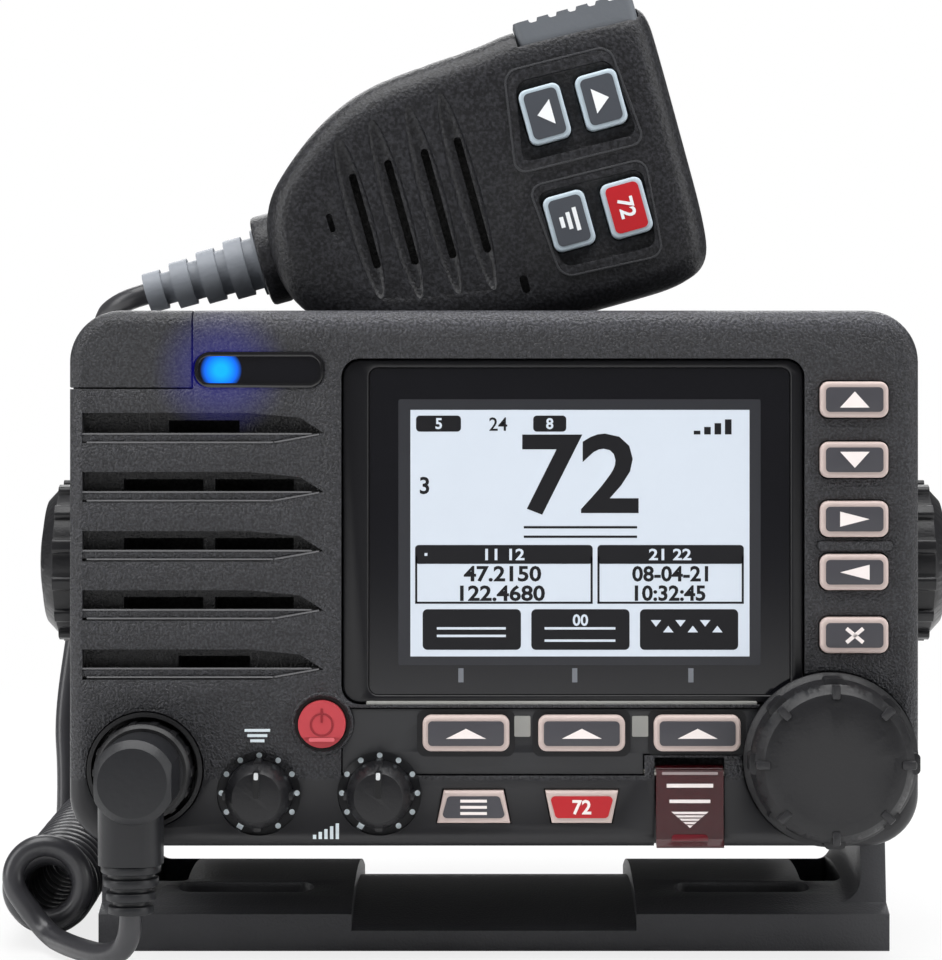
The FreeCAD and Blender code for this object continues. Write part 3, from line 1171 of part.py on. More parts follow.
def biarc(start, heading, end, final):
    """Two arcs that leave start along one direction and reach end along another."""
    across, both = end - start, heading + final
    bend = 2 * (1 - heading.dot(final))
    along = across.dot(both)
    reach = (-along + math.sqrt(along * along + bend * across.dot(across))) / bend
    joint = ((start + heading * reach) + (end - final * reach)) * 0.5
    arcs = []
    for a, b, corner in ((start, joint, start + heading * reach), (joint, end, end - final * reach)):
        chord = b - a
        side = corner - (a + b) * 0.5
        phi = math.atan2(side.Length, chord.Length / 2)
        middle = (a + b) * 0.5 + side.normalize() * (chord.Length / 2 * math.tan(phi / 2))
        arcs.append(Part.Arc(a, middle, b).toShape())
    return arcs


def coil_ends():
    """Points one cord diameter out of each end of the coil, straight on."""
    turns = value("size.coil_turns") + COIL_TOP
    lead = value("size.cord_across")
    entry = coil_point(0) - coil_heading(0) * lead
    leave = coil_point(turns) + coil_heading(turns) * lead
    return entry, leave, turns


COIL_START = 215
COIL_TOP = 0.1
GROUND_GAP = 0.3


def microphone_cord():
    """Front tail from the plug, the coil beside the bracket, and the rear tail."""
    entry, leave, turns = coil_ends()
    steps = 4 * int(turns)
    places = [turns * index / steps for index in range(steps + 1)]
    edges = [Part.LineSegment(entry, coil_point(0)).toShape()]
    for now, then in zip(places, places[1:]):
        edges += biarc(coil_point(now), coil_heading(now), coil_point(then), coil_heading(then))
    edges.append(Part.LineSegment(coil_point(turns), leave).toShape())
    samples = [coil_point(turns * index / 1200) for index in range(1201)]
    apart = min((a - b).Length for i, a in enumerate(samples) for b in samples[i + 40:])
    print("coil least gap to itself", round(apart - value("size.cord_across"), 2))
    path = Part.Wire(edges)
    radius = value("size.cord_across") / 2
    heading = coil_heading(0)
    side = heading.cross(Vector(0, 1, 0)).normalize()
    corners = []
    for index in range(CORD_SIDES + 1):
        turned = Rotation(heading, 360 / CORD_SIDES * index).multVec(side)
        corners.append(entry + turned * radius)
    section = Part.makePolygon(corners)
    area = CORD_SIDES / 2 * radius * radius * math.sin(2 * math.pi / CORD_SIDES)
    sweep("cord_coil", path, section, area)
    low = value("size.boot_low")
    exit_x = value("size.socket_x - size.leg_shift")
    exit_y = -value("size.face_front + size.leg_front")
    beside = value("size.coil_x")
    front = [Vector(exit_x, exit_y, low), Vector(exit_x, exit_y, 7.4), Vector(beside + 18.4, -59.6, 3.6),
             Vector(beside + 11.6, -50.4, 3.3), Vector(beside + 6.2, -40.8, 3.0),
             entry - coil_heading(0) * 5.6, entry]
    cord_tail("front_tail", front)
    lean = math.radians(value("size.mic_tilt"))
    reach = value("size.mic_tail + size.mic_boot_long")
    tip = Vector(-reach * math.cos(lean), value("size.mic_back + size.boot_y"),
                 value("size.mic_height") - reach * math.sin(lean))
    down = Vector(-math.cos(lean), 0, -math.sin(lean))
    back = [leave, leave + coil_heading(turns) * 9, Vector(beside - 12.2, 84, 38),
            Vector(beside - 9.2, 88, 62), Vector(beside - 3.2, 78, 92), Vector(beside + 2.8, 55, 116),
            Vector(beside + 5.8, 28, 129), Vector(beside + 8.3, 6, 135), tip + down * 9, tip]
    cord_tail("rear_tail", back)


CORD_SIDES = 6


def build():
    """Make every piece."""
    mounting_bracket()
    front_bezel()
    corner_cover()
    display_stack()
    indicator()
    key_panel()
    keys()
    power_button()
    distress_flap()
    front_controls()
    speaker_parts()
    rear_case()
    tilt_knobs()
    plug_and_socket()
    microphone()
    microphone_cord()
    doc.recompute()


def check_and_export():
    """Stop on any failed object or shape, then write one file for each piece."""
    for item in doc.Objects:
        if "Invalid" in item.State or "Error" in item.State:
            raise RuntimeError("%s failed: %s" % (item.Label, item.State))
    for piece in parts:
        if piece.Shape.isNull() or not piece.Shape.isValid():
            raise RuntimeError("%s has no valid shape" % piece.Label)
    os.makedirs("parts", exist_ok=True)
    for piece in parts:
        piece.Shape.exportStep("parts/%s.step" % piece.Label)
    print(len(parts), "pieces written")


build()
check_and_export()
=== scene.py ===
import math
import bpy
from mathutils import Matrix, Vector


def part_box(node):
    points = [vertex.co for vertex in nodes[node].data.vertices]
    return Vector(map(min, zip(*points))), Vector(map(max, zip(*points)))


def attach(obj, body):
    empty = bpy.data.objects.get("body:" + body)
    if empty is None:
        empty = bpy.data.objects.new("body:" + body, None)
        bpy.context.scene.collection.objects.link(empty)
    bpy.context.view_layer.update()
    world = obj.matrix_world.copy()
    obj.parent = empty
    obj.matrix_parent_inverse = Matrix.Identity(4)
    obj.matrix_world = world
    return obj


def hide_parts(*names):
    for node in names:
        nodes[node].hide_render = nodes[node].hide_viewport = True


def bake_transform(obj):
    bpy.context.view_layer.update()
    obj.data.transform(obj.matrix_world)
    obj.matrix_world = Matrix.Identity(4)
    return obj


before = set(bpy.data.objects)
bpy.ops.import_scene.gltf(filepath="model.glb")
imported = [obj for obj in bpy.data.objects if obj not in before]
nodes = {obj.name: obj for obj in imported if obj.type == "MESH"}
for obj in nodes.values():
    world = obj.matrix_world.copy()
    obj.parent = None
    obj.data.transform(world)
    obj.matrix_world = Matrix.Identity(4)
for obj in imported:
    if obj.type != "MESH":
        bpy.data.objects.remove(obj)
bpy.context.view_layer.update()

# The view: a camera level with the upper part of the radio, straight ahead of
# it, and a plain pale floor under soft studio light.
FRONT_Y = -0.052
CAMERA_AHEAD, CAMERA_HIGH = 0.620, 0.1198
PICTURE_SIDE = 960
SHIFT_ACROSS, SHIFT_UP = -23, -80
camera_data = bpy.data.cameras.new("camera")
camera_data.lens = 110.05
camera_data.shift_x = SHIFT_ACROSS / PICTURE_SIDE
camera_data.shift_y = SHIFT_UP / PICTURE_SIDE
camera_data.clip_start = 0.01
camera = bpy.data.objects.new("camera", camera_data)
camera.location = (0, FRONT_Y - CAMERA_AHEAD, CAMERA_HIGH)
camera.rotation_euler = (math.radians(90), 0, 0)
bpy.context.collection.objects.link(camera)
bpy.context.scene.camera = camera
bpy.context.scene.view_settings.view_transform = "Standard"


def clear_selection():
    """Select nothing."""
    bpy.ops.object.select_all(action="DESELECT")


def ramp(made, reading, start, end, low=0.0, high=1.0, smooth=False):
    """A value that goes from low to high while a reading goes from start to end."""
    slope = made.nodes.new("ShaderNodeMapRange")
    if smooth:
        slope.interpolation_type = "SMOOTHSTEP"
    slope.inputs["From Min"].default_value = start
    slope.inputs["From Max"].default_value = end
    slope.inputs["To Min"].default_value = low
    slope.inputs["To Max"].default_value = high
    made.links.new(reading, slope.inputs["Value"])
    return slope.outputs["Result"]


def product(made, first, second):
    """The product of two readings."""
    times = made.nodes.new("ShaderNodeMath")
    times.operation = "MULTIPLY"
    made.links.new(first, times.inputs[0])
    made.links.new(second, times.inputs[1])
    return times.outputs[0]


clear_selection()
bpy.ops.mesh.primitive_plane_add(size=7, location=(0, 0, -0.0002))
floor = bpy.context.active_object
floor.name = "floor"
floor_finish = bpy.data.materials.new("pale_floor")
floor_finish.use_nodes = True
made = floor_finish.node_tree
paint = made.nodes["Principled BSDF"]
paint.inputs["Base Color"].default_value = (0.86, 0.86, 0.86, 1)
paint.inputs["Roughness"].default_value = 0.75
white = made.nodes.new("ShaderNodeEmission")
white.inputs["Color"].default_value = (1, 1, 1, 1)
seen = made.nodes.new("ShaderNodeMixShader")
rays = made.nodes.new("ShaderNodeLightPath")
far = made.nodes.new("ShaderNodeVectorMath")
far.operation = "LENGTH"
made.links.new(made.nodes.new("ShaderNodeTexCoord").outputs["Object"], far.inputs[0])
fade = ramp(made, far.outputs["Value"], 0.15, 0.60, 0.80, 1.0)
made.links.new(product(made, rays.outputs["Is Camera Ray"], fade), seen.inputs["Fac"])
made.links.new(paint.outputs[0], seen.inputs[1])
made.links.new(white.outputs[0], seen.inputs[2])
made.links.new(seen.outputs[0], made.nodes["Material Output"].inputs["Surface"])
floor.data.materials.append(floor_finish)

world = bpy.data.worlds.new("studio")
world.use_nodes = True
bpy.context.scene.world = world
made = world.node_tree
sky = made.nodes["Background"]
sky.inputs["Color"].default_value = (1, 1, 1, 1)
sky.inputs["Strength"].default_value = 0.14
bright = made.nodes.new("ShaderNodeBackground")
bright.inputs["Color"].default_value = (1, 1, 1, 1)
bright.inputs["Strength"].default_value = 1.0
choose = made.nodes.new("ShaderNodeMixShader")
looking = made.nodes.new("ShaderNodeLightPath")
made.links.new(looking.outputs["Is Camera Ray"], choose.inputs["Fac"])
made.links.new(sky.outputs[0], choose.inputs[1])
made.links.new(bright.outputs[0], choose.inputs[2])
made.links.new(choose.outputs[0], made.nodes["World Output"].inputs["Surface"])

LIT_SPOT = Vector((0, 0, 0.08))
for name, place, wide, tall, watts in (
        ("overhead", (0.0, -0.15, 0.75), 1.0, 0.6, 9.5),
        ("left_box", (-0.85, -0.35, 0.4), 0.4, 0.8, 4.4),
        ("right_box", (0.85, -0.3, 0.35), 0.4, 0.8, 3.2),
        ("behind", (0.0, 0.7, 0.6), 0.8, 0.4, 4.0)):
    lamp_data = bpy.data.lights.new(name, "AREA")
    lamp_data.shape = "RECTANGLE"
    lamp_data.size = wide
    lamp_data.size_y = tall
    lamp_data.energy = watts
    lamp = bpy.data.objects.new(name, lamp_data)
    lamp.location = place
    lamp.rotation_euler = (LIT_SPOT - Vector(place)).to_track_quat("-Z", "Y").to_euler()
    bpy.context.collection.objects.link(lamp)

# The curly cord: black polyurethane over four cores. It leaves the plug's boot,
# climbs into a coil beside the bracket and ends in the microphone's boot.
CORD = 0.0048
COIL_MEAN, COIL_PITCH, COIL_TURNS = 0.0156, 0.0055, 20
COIL_START = math.radians(215)
COIL_AXIS = ((-0.0973, -0.0312, 0.0160), (-0.0980, -0.0277, 0.0135), (-0.0986, -0.0230, 0.0116),
             (-0.0991, -0.0160, 0.01055), (-0.0994, -0.0040, 0.0105), (-0.1002, 0.0200, 0.0105),
             (-0.1012, 0.0500, 0.0105), (-0.1020, 0.0810, 0.0105))
STEPS_PER_TURN = 16
REAR_PART_HIGH = 0.076
LEAN = math.radians(15.5)
MIC_Y, MIC_HIGH = -0.010, 0.1654
BOOT_REACH = 0.081


def mixed(made, factor, first, second):
    """A colour between two others, each given by its numbers or by a socket."""
    mix = made.nodes.new("ShaderNodeMix")
    mix.data_type = "RGBA"
    made.links.new(factor, mix.inputs["Factor"])
    for name, colour in (("A", first), ("B", second)):
        if isinstance(colour, tuple):
            mix.inputs[name].default_value = (*colour, 1)
        else:
            made.links.new(colour, mix.inputs[name])
    return mix.outputs["Result"]


def scaled(made, colour, share):
    """A node that makes a colour lighter or darker by a share."""
    change = made.nodes.new("ShaderNodeVectorMath")
    change.operation = "SCALE"
    made.links.new(colour, change.inputs[0])
    made.links.new(share, change.inputs["Scale"])
    return change


def moulded(name, colour, rough, grain=0.0, size=1500.0, blotch=0.12, coat=0.0, gloss=0.32):
    """A plastic or rubber finish: base colour with faint variation, and a fine grain in relief."""
    finish = bpy.data.materials.new(name)
    finish.use_nodes = True
    made = finish.node_tree
    shader = made.nodes["Principled BSDF"]
    shader.inputs["Roughness"].default_value = rough
    shader.inputs["Coat Weight"].default_value = coat
    shader.inputs["Specular IOR Level"].default_value = gloss
    shader.inputs["Coat Roughness"].default_value = 0.08
    place = made.nodes.new("ShaderNodeTexCoord")
    cloud = made.nodes.new("ShaderNodeTexNoise")
    cloud.inputs["Scale"].default_value = 60
    made.links.new(place.outputs["Object"], cloud.inputs["Vector"])
    tint = mixed(made, cloud.outputs["Fac"], tuple(c * (1 - blotch) for c in colour),
                 tuple(min(1, c * (1 + blotch)) for c in colour))
    made.links.new(tint, shader.inputs["Base Color"])
    if grain:
        pebble = made.nodes.new("ShaderNodeTexNoise")
        pebble.inputs["Scale"].default_value = size
        pebble.inputs["Detail"].default_value = 2
        made.links.new(place.outputs["Object"], pebble.inputs["Vector"])
        relief = made.nodes.new("ShaderNodeBump")
        relief.inputs["Strength"].default_value = grain
        relief.inputs["Distance"].default_value = 0.0005
        made.links.new(pebble.outputs["Fac"], relief.inputs["Height"])
        made.links.new(relief.outputs["Normal"], shader.inputs["Normal"])
    if grain > 0.3:
        speck = scaled(made, tint, ramp(made, pebble.outputs["Fac"], 0.40, 0.68, 0.62, 1.9))
        speck.name = "Skin"
        made.links.new(speck.outputs["Vector"], shader.inputs["Base Color"])
    return finish


def route(name, points):
    """A smooth spline along a cord's route, and the points read from it."""
    line = bpy.data.curves.new(name, "CURVE")
    line.dimensions = "3D"
    spline = line.splines.new("NURBS")
    spline.points.add(len(points) - 1)
    for spot, point in zip(spline.points, points):
        spot.co = (*point, 1)
    spline.order_u = 3
    spline.use_endpoint_u = True
    spline.resolution_u = 8
    holder = bpy.data.objects.new(name, line)
    bpy.context.collection.objects.link(holder)
    bpy.context.view_layer.update()
    thin = bpy.data.meshes.new_from_object(holder)
    return holder, [vertex.co.copy() for vertex in thin.vertices]


def pick(piece):
    """Select one piece and nothing else."""
    clear_selection()
    piece.select_set(True)
    bpy.context.view_layer.objects.active = piece


def cord_piece(name, points, finish):
    """A length of cord as a mesh tube round its route, and the points that it follows."""
    holder, path = route(name, points)
    holder.data.bevel_depth = CORD / 2
    holder.data.bevel_resolution = 5
    holder.data.use_fill_caps = True
    pick(holder)
    bpy.ops.object.convert(target="MESH")
    bpy.ops.object.shade_smooth()
    tube = bpy.context.active_object
    tube.data.materials.clear()
    tube.data.materials.append(finish)
    return tube, path


coil_line, coil_axis = route("coil_axis", COIL_AXIS)
bpy.data.objects.remove(coil_line)


def coil_place(turns):
    """The cord's middle after some turns round the coil's own line."""
    along = COIL_AXIS[0][1] + 0.0002 + COIL_PITCH * turns
    nearest = 0
    while nearest < len(coil_axis) - 2 and coil_axis[nearest + 1].y < along:
        nearest += 1
    a, b = coil_axis[nearest], coil_axis[nearest + 1]
    middle = a.lerp(b, (along - a.y) / (b.y - a.y))
    angle = COIL_START - 2 * math.pi * turns
    return middle + Vector((math.cos(angle), 0, math.sin(angle))) * COIL_MEAN / 2


def coil_aim(turns):
    """The cord's direction after some turns."""
    return (coil_place(turns + 0.001) - coil_place(turns - 0.001)).normalized()


cord_finish = moulded("cord_polyurethane", (0.030, 0.030, 0.034), 0.36, 0.05, 900, coat=0.15, gloss=0.45)
coil_last = COIL_TURNS + 0.1
coil_in = coil_place(0) - coil_aim(0) * CORD
coil_out = coil_place(coil_last) + coil_aim(coil_last) * CORD
boot_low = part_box("plug_boot")
boot_x = (boot_low[0][0] + boot_low[1][0]) / 2
boot_y = (boot_low[0][1] + boot_low[1][1]) / 2
front_points = [Vector((boot_x, boot_y, boot_low[0][2])), Vector((boot_x, boot_y, 0.0074)),
                Vector((-0.0804, -0.0596, 0.0036)), Vector((-0.0872, -0.0504, 0.0033)),
                Vector((-0.0926, -0.0408, 0.0030)), coil_in - coil_aim(0) * 0.0056, coil_in]
front_tail, front_path = cord_piece("cord_front_tail", front_points, cord_finish)
steps = STEPS_PER_TURN * COIL_TURNS
coil_points = [coil_in] + [coil_place(coil_last * i / steps) for i in range(steps + 1)] + [coil_out]
coil, coil_path = cord_piece("cord_coil_turns", coil_points, cord_finish)
tip = Vector((-BOOT_REACH * math.cos(LEAN), MIC_Y - 0.001, MIC_HIGH - BOOT_REACH * math.sin(LEAN)))
outward = Vector((-math.cos(LEAN), 0, -math.sin(LEAN)))
rear_points = [coil_out, coil_out + coil_aim(coil_last) * 0.009, Vector((-0.111, 0.084, 0.038)),
               Vector((-0.108, 0.088, 0.062)), Vector((-0.102, 0.078, 0.092)),
               Vector((-0.096, 0.055, 0.116)), Vector((-0.093, 0.028, 0.129)),
               Vector((-0.0905, 0.006, 0.135)), tip + outward * 0.009, tip]
rear_line, rear_path = route("rear_route", rear_points)
bpy.data.objects.remove(rear_line)
parting = next(i for i, point in enumerate(rear_path) if point.z > REAR_PART_HIGH)
rear_low, low_path = cord_piece("cord_rear_lower", rear_path[:parting + 1], cord_finish)
rear_high, high_path = cord_piece("cord_rear_upper", rear_path[parting:], cord_finish)
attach(coil, "bracket")
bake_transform(front_tail)
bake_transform(rear_low)
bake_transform(rear_high)
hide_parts("cord_coil")
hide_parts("front_tail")
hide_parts("rear_tail")
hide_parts("rear_tail")

# The bracket and the housings: glass-filled nylon with a fine pebbled skin, all
# from one resin. The housings share a finish; the bracket's copy of it is painted
# lighter, as painted light in the shade under the radio. The heat sink is an
# anodised casting, and the seals and pads are rubber.


def dress(names, finish):
    """Give solids that keep their shape a finish of their own."""
    for node_name in names:
        node = nodes[node_name]
        node.data.materials.clear()
        node.data.materials.append(finish)


def eased(node_name, body, finish, width, segments=2):
    """A copy of a solid with its sharp edges rounded as a mould leaves them, in the solid's place."""
    node = nodes[node_name]
    piece = bpy.data.objects.new(node_name + "_eased", node.data.copy())
    bpy.context.collection.objects.link(piece)
    pick(piece)
    bpy.ops.object.mode_set(mode="EDIT")
    bpy.ops.mesh.select_all(action="SELECT")
    bpy.ops.mesh.remove_doubles(threshold=0.000004)
    bpy.ops.mesh.dissolve_limited(angle_limit=math.radians(0.6))
    bpy.ops.object.mode_set(mode="OBJECT")
    edge = piece.modifiers.new("edge", "BEVEL")
    edge.width = width
    edge.segments = segments
    edge.limit_method = "ANGLE"
    edge.angle_limit = math.radians(32)
    edge.use_clamp_overlap = True
    bpy.ops.object.modifier_apply(modifier="edge")
    bpy.ops.object.shade_smooth_by_angle(angle=math.radians(40))
    piece.data.materials.clear()
    piece.data.materials.append(finish)
    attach(piece, body)
    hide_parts(node_name)
    return piece


pebbled = moulded("pebbled_nylon", (0.0200, 0.0205, 0.0235), 0.40, 0.9, 1900, gloss=0.42)
# The bracket's colour is painted lighter than the housings' to stand in for light in the shade under the
# radio.
eased("mounting_bracket", "bracket",
      moulded("bracket_nylon_painted_lighter", (0.052, 0.0525, 0.057), 0.46, 0.3, 1900), 0.0007)
eased("corner_cover", "radio", pebbled, 0.0003)
dress(["rear_case"], pebbled)
dress(["heat_sink"], moulded("anodised_fins", (0.02, 0.02, 0.022), 0.38, 0.1, 700))
dress(["bezel_gasket", "left_pad", "right_pad", "power_gland", "data_gland"],
      moulded("seal_rubber", (0.012, 0.012, 0.012), 0.7, 0.2, 900))

# The front panel: the same resin, with the pebbled skin above and a polished satin
# band along the foot where the small knobs and the low keys sit, the band's darker
# colour painted shade. Painted shade darkens it deep in the grille, a painted
# highlight lies along its top edge, and a painted blue glow lies round the lamp's corner.
BAND_TOP = 0.0392, 0.0402
GRILLE_DEEP = -0.0517, -0.0496
GRILLE_ACROSS = -0.0871, -0.036
GRILLE_UP = 0.058, 0.119
TOP_EDGE = 0.1335, 0.1360
SKIN_RELIEF = 0.95
LAMP_X, LAMP_Z = -0.0577, 0.1261


def within(made, reading, low, high):
    """One between two values and nothing outside them."""
    over, under = (made.nodes.new("ShaderNodeMath") for _ in range(2))
    over.operation, under.operation = "GREATER_THAN", "LESS_THAN"
    over.inputs[1].default_value, under.inputs[1].default_value = low, high
    made.links.new(reading, over.inputs[0])
    made.links.new(reading, under.inputs[0])
    return product(made, over.outputs[0], under.outputs[0])


def lamp_glow(finish, lamp_y, colour, start, end, high, smooth=False):
    """Painted blue glow in a finish: emission that stands in for the indicator lamp's light and grows towards
    the lamp.
    """
    made = finish.node_tree
    shader = made.nodes["Principled BSDF"]
    away = made.nodes.new("ShaderNodeVectorMath")
    away.operation = "DISTANCE"
    away.inputs[1].default_value = (LAMP_X, lamp_y, LAMP_Z)
    made.links.new(made.nodes["Texture Coordinate"].outputs["Object"], away.inputs[0])
    shader.inputs["Emission Color"].default_value = (*colour, 1)
    made.links.new(ramp(made, away.outputs["Value"], start, end, 0.0, high, smooth),
                   shader.inputs["Emission Strength"])


face = moulded("front_panel_skin", (0.0195, 0.0198, 0.0230), 0.38, SKIN_RELIEF, 1900, gloss=0.42)
made = face.node_tree
split = made.nodes.new("ShaderNodeSeparateXYZ")
made.links.new(made.nodes["Texture Coordinate"].outputs["Object"], split.inputs[0])
across, deep, up = split.outputs["X"], split.outputs["Y"], split.outputs["Z"]
band = ramp(made, up, *BAND_TOP)
made.links.new(ramp(made, up, *BAND_TOP, 0.0, SKIN_RELIEF), made.nodes["Bump"].inputs["Strength"])
# Painted shade: below the band's top the colour is darker, as the band faces a little downward; its smooth
# satin finish without relief is real.
shade = mixed(made, band, (0.0095, 0.0095, 0.0115), made.nodes["Skin"].outputs["Vector"])
# Painted shade: the colour darkens deep in the grille's grooves.
grille = product(made, within(made, across, *GRILLE_ACROSS), within(made, up, *GRILLE_UP))
grille_shade_mask = product(made, grille, ramp(made, deep, *GRILLE_DEEP))
shadow = mixed(made, grille_shade_mask, shade, (0.0055, 0.0055, 0.0065))
# Painted highlight: the colour is lifted along the panel's rounded top edge.
top_edge_highlight = scaled(made, shadow, ramp(made, up, *TOP_EDGE, 1.0, 2.1))
made.links.new(top_edge_highlight.outputs["Vector"], made.nodes["Principled BSDF"].inputs["Base Color"])
# Painted light: the panel and the housings glow blue round the indicator, as the lamp's light falling on
# them.
for skin in (face, pebbled):
    lamp_glow(skin, FRONT_Y, (0.02, 0.015, 0.75), 0.0155, 0.0030, 0.16, smooth=True)
eased("front_bezel", "radio", face, 0.0004)
eased("soft_key_panel", "radio",
      moulded("satin_strip", (0.022, 0.0225, 0.025), 0.32, 0.08, 400), 0.0003)
eased("display_frame", "radio",
      moulded("satin_frame", (0.0065, 0.0065, 0.0080), 0.3, 0.06, 500), 0.0004)
dress(["display_window"], moulded("black_glass", (0.006, 0.006, 0.008), 0.06, coat=0.6))
dress(["mic_socket"], moulded("socket_liner", (0.012, 0.012, 0.013), 0.35, 0.05, 500))
dress(["speaker_mesh", "mic_mesh"], moulded("grille_cloth", (0.008, 0.008, 0.008), 0.9, 0.9, 1300))
dress(["speaker", "lcd_panel"], moulded("hidden_parts", (0.05, 0.05, 0.05), 0.5))
metal = moulded("nickel_plate", (0.55, 0.53, 0.5), 0.28, 0.05, 600)
metal.node_tree.nodes["Principled BSDF"].inputs["Metallic"].default_value = 1
dress(["antenna_socket", "distress_hinge_pin", "squelch_pot", "volume_pot", "dial_encoder",
       "dial_shaft", "mic_stud"], metal)

# The indicator: a pill of black glass whose left end is painted with a blue glow,
# standing in for the lamp's light through it. The lamp is a small lit block
# behind the glass.
pill = moulded("indicator_glass", (0.006, 0.006, 0.008), 0.08, coat=0.6)
# Painted glow: the glass's left end shines blue as the lamp's light through it.
lamp_glow(pill, -0.0518, (0.0, 0.16, 1.0), 0.0044, 0.0012, 3.2)
dress(["led_window"], pill)
lit = moulded("blue_lamp", (0.0, 0.13, 1.0), 0.3)
shader = lit.node_tree.nodes["Principled BSDF"]
shader.inputs["Emission Color"].default_value = (0.0, 0.2, 1.0, 1)
shader.inputs["Emission Strength"].default_value = 3.0
dress(["led_lamp"], lit)

# The screen: a white-backlit panel with black segments. Its figures are a plain
# layout of this builder's own: one big number, boxes and small counters.
SCREEN_X, SCREEN_Z = 0.0182, 0.0916
SCREEN_Y = -0.0505
THIN = 0.00003
LAYER = 0.00004


def settle(piece, body, finish):
    """Finish a new piece: bake its place into its mesh, give it its material and let it ride."""
    pick(piece)
    bpy.ops.object.transform_apply(location=True, rotation=True, scale=True)
    piece.data.materials.clear()
    piece.data.materials.append(finish)
    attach(piece, body)
    return piece


def round_corners(piece, corner):
    """Round the four edges of a block that run front to back."""
    bpy.ops.object.mode_set(mode="EDIT")
    bpy.ops.mesh.select_mode(type="EDGE")
    bpy.ops.mesh.select_all(action="DESELECT")
    bpy.ops.object.mode_set(mode="OBJECT")
    for edge in piece.data.edges:
        a, b = (piece.data.vertices[i].co for i in edge.vertices)
        edge.select = abs((a - b).normalized().y) > 0.7
    bpy.ops.object.mode_set(mode="EDIT")
    bpy.ops.mesh.bevel(offset=corner, segments=6, affect="EDGES")
    bpy.ops.object.mode_set(mode="OBJECT")


def tile(name, x, z, wide, tall, y, thick, corner, lean=0.0):
    """A thin plate with rounded corners that faces the viewer, its back at y."""
    clear_selection()
    bpy.ops.mesh.primitive_cube_add(size=1, location=(x, y - thick / 2, z), rotation=(0, lean, 0))
    piece = bpy.context.active_object
    piece.name = name
    piece.scale = (wide, thick, tall)
    bpy.ops.object.transform_apply(location=False, rotation=False, scale=True)
    if corner > 0:
        round_corners(piece, corner)
    return piece


def lettering(name, text, x, z, tall, y, thick, lean=0.0, stretch=1.0, bold=0.0):
    """Plain figures, cut as thin solid shapes that face the viewer."""
    clear_selection()
    bpy.ops.object.text_add(location=(0, 0, 0))
    piece = bpy.context.active_object
    piece.name = name
    piece.data.body = text
    piece.data.align_x = "CENTER"
    piece.data.align_y = "CENTER"
    piece.data.size = tall * 1.38
    piece.data.extrude = thick / 2
    piece.data.offset = bold
    piece.data.resolution_u = 3
    bpy.ops.object.convert(target="MESH")
    piece = bpy.context.active_object
    box = [Vector(corner) for corner in piece.bound_box]
    middle = sum(box, Vector()) / 8
    turned = Matrix.Rotation(lean, 4, "Y") @ Matrix.Rotation(math.radians(90), 4, "X")
    piece.data.transform(Matrix.Diagonal((stretch, 1, 1, 1)) @ Matrix.Translation(-middle))
    piece.data.transform(Matrix.Translation((x, y - thick / 2, z)) @ turned)
    return piece


def wedge(name, x, z, wide, tall, y, thick, aim):
    """A three-cornered arrow that faces the viewer, aimed by an angle from straight up."""
    clear_selection()
    bpy.ops.mesh.primitive_cylinder_add(vertices=3, radius=1, depth=thick,
                                        location=(0, 0, 0), rotation=(0, 0, 0))
    piece = bpy.context.active_object
    piece.name = name
    flat = Matrix.Diagonal((wide / 1.732, tall / 1.5, 1, 1)) @ Matrix.Translation((0, -0.25, 0))
    turned = Matrix.Rotation(aim, 4, "Y") @ Matrix.Rotation(math.radians(90), 4, "X")
    piece.data.transform(Matrix.Translation((x, y - thick / 2, z)) @ turned @ flat)
    return piece


def joined(pieces, name):
    """One mesh of several."""
    clear_selection()
    for piece in pieces:
        piece.select_set(True)
    bpy.context.view_layer.objects.active = pieces[0]
    bpy.ops.object.join()
    whole = bpy.context.active_object
    whole.name = name
    return whole


backlight = moulded("screen_backlight", (0.51, 0.56, 0.62), 0.4, blotch=0.02)
shader = backlight.node_tree.nodes["Principled BSDF"]
shader.inputs["Emission Color"].default_value = (0.74, 0.80, 0.92, 1)
shader.inputs["Emission Strength"].default_value = 0.18
ink = moulded("screen_ink", (0.004, 0.004, 0.006), 0.5, blotch=0.02)
border = moulded("screen_border", (0.028, 0.029, 0.034), 0.35, blotch=0.02)
settle(tile("screen_border_plate", SCREEN_X - 0.0001, SCREEN_Z + 0.0002, 0.0767, 0.0563,
            SCREEN_Y, LAYER, 0.0004), "radio", border)
settle(tile("screen_backlit_area", SCREEN_X, SCREEN_Z, 0.0718, 0.0522,
            SCREEN_Y - LAYER, LAYER, 0.0), "radio", backlight)
ink_y = SCREEN_Y - 0.00008
marks = []


def at(px, py):
    """A place on the screen, from its left and upper edges in millimetres."""
    return SCREEN_X - 0.0359 + px / 1000, SCREEN_Z + 0.0261 - py / 1000


def bar(px, py, wide, tall, corner=0.0):
    """A block of ink by its left upper corner and its size in millimetres."""
    x, z = at(px + wide / 2, py + tall / 2)
    marks.append(tile("bar", x, z, wide / 1000, tall / 1000, ink_y, THIN, corner / 1000))


def figures(text, px, py, tall, stretch=1.0, bold=0.0):
    """Figures by their middle and their height in millimetres."""
    x, z = at(px, py)
    marks.append(lettering("figures", text, x, z, tall / 1000, ink_y, THIN, stretch=stretch, bold=bold))


